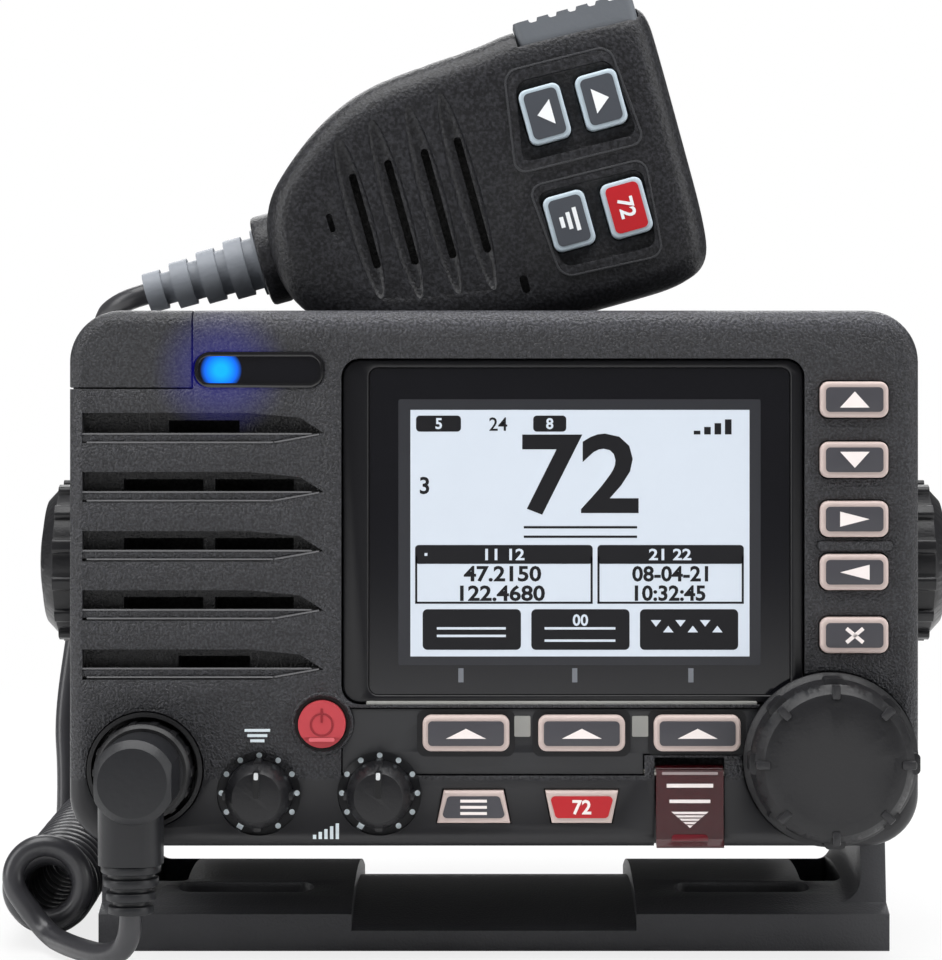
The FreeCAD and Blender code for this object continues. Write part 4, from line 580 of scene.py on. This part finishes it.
bar(1.2, 1.2, 9.5, 3.4, 0.8)
bar(26.0, 1.2, 7.0, 3.4, 0.8)
for index in range(4):
    bar(60.0 + 2.2 * index, 4.4 - 0.8 * index, 1.4, 0.8 + 0.8 * index)
figures("24", 18.6, 3.0, 2.9, bold=0.00004)
figures("72", 36.0, 13.6, 16.6, stretch=1.12, bold=0.0005)
figures("3", 3.0, 16.0, 3.6, bold=0.0001)
bar(24.0, 24.6, 24.0, 0.5)
bar(24.0, 26.6, 24.0, 0.5)
for left, wide in ((1.0, 37.6), (39.6, 31.0)):
    bar(left, 28.6, wide, 4.0, 0.8)
    bar(left, 40.6, wide, 0.45)
    bar(left, 31.0, 0.45, 10.0)
    bar(left + wide - 0.45, 31.0, 0.45, 10.0)
for text, px, py, stretch in (("47.2150", 19.5, 34.7, 1.15), ("122.4680", 19.5, 38.8, 1.15),
                              ("08-04-21", 55.0, 34.7, 1.05), ("10:32:45", 55.0, 38.8, 1.05)):
    figures(text, px, py, 3.2, stretch=stretch, bold=0.00012)
for index in range(3):
    bar(2.6 + 23.0 * index, 42.2, 20.8, 8.6, 1.0)
settle(joined(marks, "screen_figures"), "radio", ink)
marks = []
ink_y = ink_y - THIN
for left, top, wide, tall in ((5.6, 46.0, 14.6, 0.5), (5.6, 47.6, 14.6, 0.5), (28.4, 46.0, 15.0, 0.5),
                              (28.4, 48.6, 15.0, 0.5), (3.0, 30.3, 0.6, 0.6)):
    bar(left, top, wide, tall)
for index in range(6):
    x, z = at(52.0 + 2.6 * index, 45.2 + 1.2 * (index % 2))
    marks.append(wedge("wave", x, z, 0.0022, 0.0014, ink_y, THIN, 0 if index % 2 else math.pi))
for text, px, py, tall, stretch in (("00", 36.0, 44.5, 2.4, 1.0), ("11 12", 20.0, 30.6, 2.4, 1.2),
                                    ("21 22", 55.0, 30.6, 2.4, 1.2), ("5", 6.0, 2.9, 2.3, 1.0),
                                    ("8", 29.5, 2.9, 2.3, 1.0)):
    figures(text, px, py, tall, stretch=stretch, bold=0.00008)
settle(joined(marks, "screen_light_figures"), "radio", backlight)
tick_finish = moulded("printed_tick", (0.16, 0.17, 0.19), 0.5)
ticks = [tile("tick", x, 0.0615, 0.0011, 0.003, SCREEN_Y, THIN, 0) for x in (-0.007, 0.0171, 0.0417)]
settle(joined(ticks, "screen_ticks"), "radio", tick_finish)

# The keys: silicone rubber, each with a pale rim that lets light through round a
# dark raised face, and a pale symbol printed on the face. The three under the
# screen have painted shade round them, a painted highlight line along the strip
# above them and painted highlights between them.
RIM_COLOUR = (0.55, 0.45, 0.42)
FACE_COLOUR = (0.058, 0.057, 0.066)
KEY_BED_Y = -0.0514
RIGHT_KEYS = ("key_up", "key_down", "key_right", "key_left", "key_clear")
SOFT_KEYS = ("soft_key_left", "soft_key_middle", "soft_key_right")
SOFT_ARROW = (0, 0.0084, 0.0021)
ARROWS = {"key_up": (0, 0.0062, 0.0034), "key_down": (math.pi, 0.0062, 0.0034),
          "key_right": (math.pi / 2, 0.0032, 0.0062), "key_left": (-math.pi / 2, 0.0032, 0.0062)}


def soften(piece, width):
    """Round the sharp edges a little and shade the rest smooth."""
    pick(piece)
    if width:
        edge = piece.modifiers.new("edge", "BEVEL")
        edge.width = width
        edge.segments = 2
        edge.limit_method = "ANGLE"
        edge.angle_limit = math.radians(35)
        bpy.ops.object.modifier_apply(modifier="edge")
    bpy.ops.object.shade_smooth_by_angle(angle=math.radians(35))


def centre_of(low, high):
    """The middle of a solid, across and up, from its two far corners."""
    return (low[0] + high[0]) / 2, (low[2] + high[2]) / 2


def rimmed(name, face_colour, rim_colour, level):
    """A key's finish: the rim's colour up to a level, and the face's colour ahead of it."""
    finish = moulded(name, face_colour, 0.42, 0.06, 900)
    made = finish.node_tree
    parts = made.nodes.new("ShaderNodeSeparateXYZ")
    made.links.new(made.nodes["Texture Coordinate"].outputs["Object"], parts.inputs[0])
    ahead = made.nodes.new("ShaderNodeMath")
    ahead.operation = "LESS_THAN"
    ahead.inputs[1].default_value = level
    made.links.new(parts.outputs["Y"], ahead.inputs[0])
    made.links.new(mixed(made, ahead.outputs[0], rim_colour, made.nodes["Mix"].outputs["Result"]),
                   made.nodes["Principled BSDF"].inputs["Base Color"])
    return finish


plate_finish = moulded("key_face_rubber", FACE_COLOUR, 0.42, 0.06, 900)
key_finish = rimmed("key_rubber", FACE_COLOUR, RIM_COLOUR, -0.05362)
glyph = moulded("printed_symbol", (0.86, 0.79, 0.77), 0.5, blotch=0.03)
dress(RIGHT_KEYS + SOFT_KEYS, key_finish)
for name in RIGHT_KEYS + SOFT_KEYS:
    low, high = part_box(name)
    x, z = centre_of(low, high)
    if name == "key_clear":
        strokes = [tile("stroke", x, z, 0.0046, 0.0008, low[1], 0.0001, 0, lean=angle)
                   for angle in (math.radians(40), math.radians(-40))]
        symbol = joined(strokes, name + "_symbol")
    else:
        aim, wide, tall = ARROWS.get(name, SOFT_ARROW)
        symbol = wedge(name + "_symbol", x, z, wide, tall, low[1], 0.0001, aim)
    settle(symbol, name + "_body", glyph)
    plate = tile(name + "_face", x, z, high[0] - low[0] - 0.0023, high[2] - low[2] - 0.0024,
                 low[1] + 0.0004, 0.00042, 0.0009)
    soften(plate, 0.0001)
    settle(plate, name + "_body", plate_finish)
# Painted shade: a dark sheet round each key under the screen.
key_shade_finish = moulded("key_surround", (0.0075, 0.0075, 0.009), 0.45, 0.08, 900)
for name in SOFT_KEYS:
    low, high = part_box(name)
    x, z = centre_of(low, high)
    settle(tile(name + "_surround", x, z - 0.0001, high[0] - low[0] + 0.0024,
                high[2] - low[2] + 0.0024, KEY_BED_Y, 0.00008, 0.0018), "radio", key_shade_finish)
# Painted highlights: a pale line along the top edge of the strip under the screen, and pale tiles between the
# keys.
strip_highlight_finish = moulded("painted_strip_highlight", (0.30, 0.30, 0.285), 0.34, 0.05, 500)
strip_highlight_line = tile("key_strip_highlight", 0.0143, 0.0557, 0.0826, 0.0009, -0.0512, 0.0004, 0.0003)
soften(strip_highlight_line, 0.0001)
settle(strip_highlight_line, "radio", strip_highlight_finish)
for x in (0.0060, 0.0309):
    settle(tile("highlight_between_keys", x, 0.0508, 0.0034, 0.0044, KEY_BED_Y, 0.00012, 0.0003),
           "radio", strip_highlight_finish)

# The two low keys: the same rubber, shaped as a trapeze, with flat coloured faces.
# One is dark with three bars on it, and the other is red with a number.
low_rim = moulded("low_key_rim", RIM_COLOUR, 0.42, 0.06, 900)
low_face = moulded("low_key_face", FACE_COLOUR, 0.42, 0.06, 900)
red_face = moulded("red_key_face", (0.45, 0.014, 0.02), 0.42, 0.06, 900)
dress(["menu_key", "channel_key"], low_rim)
for name, slot, finish, lean_out in (("menu_key", "key", low_face, -0.0004),
                                     ("channel_key", "red", red_face, 0.0004)):
    low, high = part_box(name)
    x, z = centre_of(low, high)
    plate = tile(name + "_face", x, z, 0.0122, 0.0046, low[1], 0.0002, 0.0009)
    for vertex in plate.data.vertices:
        side = 1 if vertex.co.x > 0 else -1
        vertex.co.x += side * lean_out * (1 if vertex.co.z > 0 else -1)
    settle(plate, name + "_body", finish)
    ahead = low[1] - 0.0002
    if name == "menu_key":
        bars = [tile("bar", x, z + shift, 0.0056, 0.0006, ahead, 0.00008, 0)
                for shift in (-0.0013, 0, 0.0013)]
        symbol = joined(bars, "menu_symbol")
    else:
        symbol = lettering("channel_symbol", "72", x, z, 0.003, ahead, 0.00008, bold=0.0001)
    settle(symbol, name + "_body", glyph)

# The power button: a red rubber cap with a raised ring-and-bar sign, its darker red
# painted shade, and a painted highlight below it. A round lip of the panel stands
# about it, with painted shadow in the gap between.
LIP_Y = -0.0519


def hoop(name, x, z, across, thick, y, squash):
    """A round lip or ring that faces the viewer."""
    clear_selection()
    bpy.ops.mesh.primitive_torus_add(major_radius=across / 2, minor_radius=thick / 2, major_segments=72,
                                     minor_segments=12, location=(x, y, z), rotation=(math.radians(90), 0, 0))
    piece = bpy.context.active_object
    piece.name = name
    piece.scale = (1, 1, squash)
    bpy.ops.object.shade_smooth()
    return piece


red_cap = moulded("red_cap", (0.47, 0.050, 0.062), 0.4, 0.05, 900)
dress(["power_button", "distress_button"], red_cap)
low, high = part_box("power_button")
x, z = centre_of(low, high)
# The sign's darker red is painted shade, as in a groove.
sign = joined([hoop("ring", x, z, 0.0046, 0.0005, low[1], 0.5),
               tile("bar", x, z + 0.0019, 0.0005, 0.0030, low[1], 0.00014, 0.0001)], "power_sign")
settle(sign, "power_button_body", moulded("red_sign_painted_shade", (0.26, 0.016, 0.024), 0.4, blotch=0.03))
# Painted highlight: a lighter red strip below the sign.
settle(tile("power_step_highlight", x, z - 0.0032, 0.0054, 0.0008, low[1], 0.00012, 0.0003),
       "power_button_body", moulded("red_step_painted_highlight", (0.66, 0.13, 0.15), 0.35, blotch=0.03))
settle(hoop("power_lip", x, z, 0.0124, 0.0009, LIP_Y, 0.6), "radio", face)
# Painted shadow: a dark ring in the gap between the lip and the cap.
settle(hoop("power_gap", x, z, 0.01105, 0.0010, LIP_Y, 0.35), "radio",
       moulded("gap_shadow", (0.003, 0.003, 0.003), 0.7))

# The distress cover: a smoky red transparent flap with a striped arrow on it,
# which points to where the thumb lifts it.
FLAP_FRONT = -0.0534
flap = moulded("smoky_red_flap", (0.045, 0.0025, 0.005), 0.14, coat=0.2)
flap.node_tree.nodes["Principled BSDF"].inputs["Alpha"].default_value = 0.9
dress(["distress_cover"], flap)
low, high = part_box("distress_cover")
x, z = centre_of(low, high)
arrow = joined([wedge("arrow", x, 0.0313, 0.0078, 0.0034, FLAP_FRONT, 0.0001, math.pi),
                tile("line", x, 0.0385, 0.0098, 0.0008, FLAP_FRONT, 0.0001, 0),
                tile("line", x, 0.0352, 0.0086, 0.0007, FLAP_FRONT, 0.0001, 0)], "cover_arrow")
settle(arrow, "cover", glyph)
cuts = [tile("cut", x, 0.0324 - 0.0007 * i, 0.0072 - 0.0017 * i, 0.0002, FLAP_FRONT - 0.0001, 0.00005, 0)
        for i in range(4)]
settle(joined(cuts, "cover_arrow_cuts"), "cover", flap)
tab = tile("cover_tab", x, 0.0270, 0.0078, 0.0025, FLAP_FRONT, 0.0004, 0.0009)
soften(tab, 0.0002)
settle(tab, "cover", moulded("tab_red", (0.13, 0.012, 0.018), 0.2, coat=0.3))
# Painted highlight: a pale glassy line along the flap's top edge.
flap_highlight = tile("cover_painted_highlight", x, 0.0411, 0.0118, 0.0006, FLAP_FRONT, 0.00006, 0.0002)
settle(flap_highlight, "cover", moulded("flap_painted_highlight", (0.30, 0.25, 0.25), 0.2, coat=0.3))

# The knobs and the dial: satin rubber-touch caps pressed on their shafts. The
# dial has eight raised lugs, and light dots round each small knob mark its turn,
# with a square mark at its start.
LUG_REACH, DOT_REACH = 0.0152, 0.0080
KNOB_HIGH = 0.0366
DISH_Y = -0.0508
knob_finish = moulded("knob_soft_touch", (0.010, 0.010, 0.0115), 0.34, 0.12, 1200)
for name, body, width in (("squelch_knob", "squelch", 0.0002), ("volume_knob", "volume", 0.0002),
                          ("left_knob", "left_tilt_knob", 0.0005), ("right_knob", "right_tilt_knob", 0.0005)):
    eased(name, body, knob_finish, width)
eased("channel_dial", "dial",
      moulded("dial_soft_touch", (0.0125, 0.0125, 0.0140), 0.38, 0.14, 1300), 0.0005)
low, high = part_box("channel_dial")
x, z = centre_of(low, high)
lug_finish = moulded("dial_lug", (0.024, 0.024, 0.026), 0.32, 0.1, 1300)
for index in range(8):
    angle = math.radians(45 * index)
    lug = tile("dial_lug", x + LUG_REACH * math.sin(angle), z + LUG_REACH * math.cos(angle),
               0.0017, 0.0030, low[1] + 0.0022, 0.0022, 0.0004, lean=angle)
    soften(lug, 0.0003)
    settle(lug, "dial", lug_finish)
dot_finish = moulded("printed_dot", (0.70, 0.78, 0.82), 0.5)
for name, centre in (("knob_dots_left", -0.0497), ("knob_dots_right", -0.0242)):
    dots = []
    for index in range(11):
        angle = math.radians(-150 + 30 * index)
        x, z = centre + DOT_REACH * math.sin(angle), KNOB_HIGH + DOT_REACH * math.cos(angle)
        if index == 0:
            dots.append(tile("dot", x, z, 0.0013, 0.0013, DISH_Y, 0.00005, 0, lean=angle))
        else:
            clear_selection()
            bpy.ops.mesh.primitive_cylinder_add(vertices=20, radius=0.0006, depth=0.0001,
                                                location=(x, DISH_Y, z), rotation=(math.radians(90), 0, 0))
            dots.append(bpy.context.active_object)
    settle(joined(dots, name), "radio", dot_finish)
for name, body in (("squelch_knob", "squelch"), ("volume_knob", "volume")):
    low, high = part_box(name)
    x, z = centre_of(low, high)
    # Painted shade: a dark strip for the pointer's groove; the pale tip above it is paint.
    settle(tile(name + "_pointer", x, z + 0.0027, 0.0012, 0.0056, low[1], 0.00018, 0.0004),
           body, moulded(name + "_groove_shade", (0.0035, 0.0035, 0.004), 0.3))
    settle(tile(name + "_tip", x, z + 0.0046, 0.0009, 0.0015, low[1] - 0.00018, 0.0001, 0.0003),
           body, moulded(name + "_tip_paint", (0.62, 0.64, 0.65), 0.4))

# The signs beside the small knobs: light ink printed on the panel, growing bars
# for loudness and three rungs for squelch.
PRINT_Y = -0.05197
growing = [tile("bar", -0.0379 + 0.0012 * i, 0.0275 + 0.0003 * i, 0.0007, 0.0009 + 0.0006 * i,
                PRINT_Y, 0.00006, 0) for i in range(5)]
settle(joined(growing, "volume_sign"), "radio", dot_finish)
rungs = [tile("bar", -0.0500, 0.0478 + 0.0011 * i, 0.0030 + 0.0012 * i, 0.0006, PRINT_Y, 0.00006, 0)
         for i in range(3)]
settle(joined(rungs, "squelch_sign"), "radio", dot_finish)

# The grille's louvers: each groove of the panel has a slanted shelf of the same
# resin in it, and its upper edge and its lip carry painted highlights, pale lines.
LOUVER_MIDDLES = (0.1137, 0.1014, 0.0890, 0.0765, 0.0641)


def trapeze(corners, front, back, corner):
    """A four-cornered block with rounded corners, from one depth to another, in millimetres."""
    clear_selection()
    bpy.ops.mesh.primitive_cube_add(size=1)
    piece = bpy.context.active_object
    for vertex in piece.data.vertices:
        u, v = corners[(0 if vertex.co.z > 0 else 2) + (0 if vertex.co.x < 0 else 1)]
        y = front if vertex.co.y < 0 else back
        vertex.co = (u / 1000, y / 1000, v / 1000)
    round_corners(piece, corner / 1000)
    return piece


# Painted highlights: pale lines along each shelf's upper edge and each groove's lip.
louver_highlight_finish = moulded("louver_painted_highlight", (0.135, 0.135, 0.14), 0.3, 0.25, 1900)
for middle in LOUVER_MIDDLES:
    upper, lower = (middle - 0.0010) * 1000, (middle - 0.0027) * 1000
    shelf = trapeze(((-87.4, upper), (-37.4, upper), (-87.4, lower), (-42.6, lower)), -51.75, -50.3, 0.3)
    shelf.name = "louver_shelf"
    soften(shelf, 0.00035)
    settle(shelf, "radio", face)
    for name, y, left, right, rise, fall in (("shelf_edge", -0.05175, -87.0, -38.6, -1.05, -1.05),
                                             ("lip", -0.05195, -86.0, -46.4, -2.85, -2.85),
                                             ("lip_end", -0.05195, -46.6, -37.0, -2.85, -1.15)):
        long = math.hypot(right - left, fall - rise)
        line = tile(name, (left + right) / 2000, middle + (rise + fall) / 2000, (long + 0.1) / 1000,
                    0.00034, y, 0.00016, 0.00012, lean=-math.atan2(fall - rise, right - left))
        settle(line, "radio", louver_highlight_finish)

# The indicator's rim: a gloss black frame that holds the pill of glass. The ridge
# between the third and the fourth key is moulded with the panel.
PILL_X, PILL_Z = -0.0496, 0.1262


def carve(piece, cutter, operation="DIFFERENCE"):
    """Cut one mesh from another, or join them, and drop the cutter."""
    change = piece.modifiers.new("carve", "BOOLEAN")
    change.operation = operation
    change.solver = "EXACT"
    change.object = cutter
    pick(piece)
    bpy.ops.object.modifier_apply(modifier="carve")
    bpy.data.objects.remove(cutter)


pill_rim = tile("indicator_rim", PILL_X, PILL_Z, 0.0274, 0.0076, LIP_Y, 0.0004, 0.0034)
bpy.ops.object.transform_apply(location=True, rotation=True, scale=True)
carve(pill_rim, tile("cutter", PILL_X, PILL_Z, 0.0256, 0.0056, -0.0510, 0.0030, 0.0022))
soften(pill_rim, 0.00015)
settle(pill_rim, "radio", moulded("indicator_rim", (0.008, 0.008, 0.009), 0.14, coat=0.6))
ridge = tile("key_ridge", 0.0763, 0.0890, 0.0158, 0.0021, LIP_Y, 0.0009, 0.0009)
soften(ridge, 0.0003)
settle(ridge, "radio", face)

# The plug, its ring and its boot: black rubber over the moulded right angle. The
# ring is hard plastic and turns on the plug to lock it.
plug_finish = moulded("plug_rubber", (0.0120, 0.0125, 0.0145), 0.40, 0.1, 800)
eased("mic_plug", "radio", plug_finish, 0.0009, segments=3)
eased("plug_boot", "radio", plug_finish, 0.0003)
eased("coupling_ring", "plug_ring",
      moulded("ring_plastic", (0.009, 0.009, 0.010), 0.34, 0.08, 600), 0.0003)

# The microphone: two moulded nylon shells, screwed together from behind. The front
# one is scooped into four louvers over a woven cloth, and frames two pairs of keys.
MIC_OUTLINE = ((-49.5, 11.5), (-52.0, 0.0), (-49.5, -11.5), (-42.0, -19.5), (-32.0, -26.2), (-19.0, -29.6),
               (0.0, -30.4), (22.0, -30.6), (36.0, -30.4), (42.0, -27.0), (43.4, -18.0), (43.5, 0.0),
               (43.6, 20.0), (43.4, 30.0), (40.0, 32.8), (28.0, 33.4), (12.0, 33.8), (6.0, 32.6),
               (-8.0, 31.8), (-21.0, 30.6), (-32.0, 26.2), (-42.0, 19.0))
HALF_LONG, HALF_TALL = 48, 31
MIC_KEYS = ("mic_key_left", "mic_key_right", "mic_key_level", "mic_key_channel")
UPPER_TRAY = ((9.0, 25.2), (33.2, 24.6), (5.5, 2.4), (35.2, 1.6))
LOWER_TRAY = ((7.4, -0.6), (34.2, -1.4), (9.2, -22.2), (32.4, -23.4))
UPPER_EDGE = ((9.4, 24.8), (32.8, 24.2), (6.0, 2.8), (34.7, 2.0))
LOWER_EDGE = ((7.9, -1.0), (33.8, -1.8), (9.6, -21.8), (32.0, -23.0))
UPPER_BED = ((11.0, 22.2), (32.4, 21.6), (7.8, 4.6), (34.0, 4.0))
LOWER_BED = ((8.8, -2.6), (32.8, -3.4), (10.2, -20.0), (31.4, -20.8))
mic_place = Matrix.Translation((0, MIC_Y, MIC_HIGH)) @ Matrix.Rotation(-LEAN, 4, "Y")


def mic_shell(name, layers):
    """A shell as stacked insets of the smooth outline; each layer is an inset and how far it goes."""
    line = bpy.data.curves.new(name + "_outline", "CURVE")
    line.dimensions = "3D"
    spline = line.splines.new("NURBS")
    spline.points.add(len(MIC_OUTLINE) - 1)
    for spot, (u, v) in zip(spline.points, MIC_OUTLINE):
        spot.co = (u / 1000, 0, v / 1000, 1)
    spline.order_u = 3
    spline.use_cyclic_u = True
    spline.resolution_u = 6
    shell = bpy.data.objects.new(name, line)
    bpy.context.collection.objects.link(shell)
    pick(shell)
    bpy.ops.object.convert(target="MESH")
    shell = bpy.context.active_object
    bpy.ops.object.mode_set(mode="EDIT")
    bpy.ops.mesh.select_all(action="SELECT")
    bpy.ops.mesh.remove_doubles(threshold=0.00002)
    bpy.ops.mesh.edge_face_add()
    bpy.ops.mesh.extrude_region_move(TRANSFORM_OT_translate={"value": (0, layers[0][1] / 1000, 0)})
    total, deep = 0, layers[0][1]
    for inset, further in layers[1:]:
        before = 1 - total / HALF_LONG, 1 - total / HALF_TALL
        total, deep = total + inset, deep + further
        bpy.ops.mesh.extrude_region_move(TRANSFORM_OT_translate={"value": (0, further / 1000, 0)})
        bpy.ops.transform.resize(value=((1 - total / HALF_LONG) / before[0], 1,
                                        (1 - total / HALF_TALL) / before[1]),
                                 center_override=(-0.002, deep / 1000, 0.001))
    bpy.ops.mesh.select_all(action="DESELECT")
    bpy.ops.mesh.select_non_manifold()
    bpy.ops.mesh.edge_face_add()
    bpy.ops.mesh.select_all(action="SELECT")
    bpy.ops.mesh.normals_make_consistent(inside=False)
    bpy.ops.object.mode_set(mode="OBJECT")
    return shell


def ball(u, y, v, radii):
    """An egg-shaped cutter in the microphone's own frame, in millimetres."""
    clear_selection()
    bpy.ops.mesh.primitive_uv_sphere_add(segments=32, ring_count=24, radius=0.001)
    piece = bpy.context.active_object
    piece.data.transform(Matrix.Translation((u / 1000, y / 1000, v / 1000)) @ Matrix.Diagonal((*radii, 1)))
    return piece


def slot_cutter(u, v, wide, tall, front, back, corner=None):
    """A rounded bar that cuts from one depth to another, in millimetres."""
    piece = tile("cutter", u / 1000, v / 1000, wide / 1000, tall / 1000, back / 1000,
                 (back - front) / 1000, (corner or wide * 0.48) / 1000)
    piece.data.transform(Matrix.Translation(piece.location))
    piece.location = (0, 0, 0)
    return piece


shell_finish = moulded("mic_shell_nylon", (0.0150, 0.0152, 0.0175), 0.40, 0.35, 1400)
front_shell = mic_shell("mic_front", ((-9.5, -9.5), (0.35, -2.0), (0.9, -1.8), (1.5, -1.4), (2.0, -0.9),
                                      (3.0, -0.4)))
for corners in (UPPER_TRAY, LOWER_TRAY):
    carve(front_shell, trapeze(corners, -16.7, -15.0, 3.0), "UNION")
for corners in (UPPER_BED, LOWER_BED):
    carve(front_shell, trapeze(corners, -18.0, -14.6, 2.4))
for u, v, half in ((-30.0, 2.7, 18.7), (-21.7, 2.4, 20.7), (-13.3, 2.1, 21.6), (-5.6, 1.9, 22.7)):
    carve(front_shell, ball(u, -16.3, v, (3.0, 2.3, half)))
    carve(front_shell, slot_cutter(u + 0.9, v - 1, 1.7, half * 1.16, -17, -11.95))
for u, v, wide, tall in ((-36.4, 3.2, 1.3, 4.2), (1.2, -21.2, 1.8, 4.0)):
    carve(front_shell, slot_cutter(u, v, wide, tall, -17, -13))
for u, v in ((-24.1, 31.0), (-16.2, 31.9), (-8.0, 32.4), (0.2, 32.9)):
    carve(front_shell, ball(u, -11.0, v, (2.2, 3.4, 1.3)))
for name in MIC_KEYS:
    low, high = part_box(name)
    x, z = centre_of(low, high)
    middle = mic_place.inverted() @ Vector((x, 0, z))
    carve(front_shell, slot_cutter(middle.x * 1000, middle.z * 1000, 10.0, 13.0, -18, -12, 2.0))
carve(front_shell, slot_cutter(27.5, 35.2, 27.8, 12.6, -15.2, -2.0, 1.0))
soften(front_shell, 0.00022)
rear_shell = mic_shell("mic_rear", ((8.0, 8.0), (0.35, 2.4), (1.0, 1.8), (1.8, 1.2), (3.2, 0.6)))
soften(rear_shell, 0)
clear_selection()
bpy.ops.mesh.primitive_cylinder_add(vertices=48, radius=0.0102, depth=0.005)
collar = bpy.context.active_object
collar.name = "mic_collar"
collar.data.transform(Matrix.Translation((-0.0518, -0.001, 0)) @ Matrix.Rotation(math.radians(90), 4, "Y"))
soften(collar, 0.0009)
for piece in (front_shell, rear_shell, collar):
    piece.data.transform(mic_place)
    settle(piece, "microphone", shell_finish)
# Painted highlights: pale rims round the two key trays.
tray_highlight_finish = moulded("mic_tray_painted_highlight", (0.045, 0.046, 0.050), 0.32, 0.25, 1900)
for outer, inner in ((UPPER_TRAY, UPPER_EDGE), (LOWER_TRAY, LOWER_EDGE)):
    tray_edge = trapeze(outer, -16.85, -16.4, 3.0)
    carve(tray_edge, trapeze(inner, -18.0, -15.0, 2.7))
    tray_edge.name = "mic_tray_edge"
    soften(tray_edge, 0.00008)
    tray_edge.data.transform(mic_place)
    settle(tray_edge, "microphone", tray_highlight_finish)
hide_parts("mic_front_shell")
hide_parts("mic_rear_shell")
dress(["mic_boot"], moulded("grey_boot", (0.20, 0.215, 0.24), 0.5, 0.12, 700))
dress(["ptt_button"], moulded("grey_talk_key", (0.12, 0.13, 0.145), 0.48, 0.12, 700))

# The microphone's keys: pale rims moulded through round dark faces, one face red.
# They lean with the microphone and carry arrows, bars or a number.
PLATE_THICK = 0.00025
mic_rim = moulded("mic_key_rim", (0.44, 0.52, 0.58), 0.42, 0.06, 900)
mic_glyph = moulded("mic_symbol", (0.82, 0.84, 0.86), 0.5, blotch=0.03)
mic_face = moulded("mic_key_face", (0.060, 0.066, 0.078), 0.42, 0.06, 900)
dress(MIC_KEYS, mic_rim)
across = Vector((math.cos(LEAN), math.sin(LEAN)))
for name in MIC_KEYS:
    red = name == "mic_key_channel"
    low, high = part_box(name)
    x, z = centre_of(low, high)
    settle(tile(name + "_face", x, z, 0.0074, 0.0104, low[1], PLATE_THICK, 0.0012, lean=-LEAN),
           name + "_body", red_face if red else mic_face)
    ahead = low[1] - PLATE_THICK
    if red:
        symbol = lettering(name + "_symbol", "72", x, z, 0.0034, ahead, 0.0001, lean=math.pi / 2 - LEAN,
                           bold=0.00012)
    elif name == "mic_key_level":
        bars = [tile("bar", x + across.x * shift, z + across.y * shift, 0.0009, long, ahead, 0.0001, 0,
                     lean=-LEAN) for shift, long in ((-0.0016, 0.0024), (0, 0.0038), (0.0016, 0.0052))]
        symbol = joined(bars, name + "_symbol")
    else:
        aim = (math.pi / 2 if name == "mic_key_right" else -math.pi / 2) - LEAN
        symbol = wedge(name + "_symbol", x, z, 0.0056, 0.0034, ahead, 0.0001, aim)
    settle(symbol, name + "_body", mic_glyph)
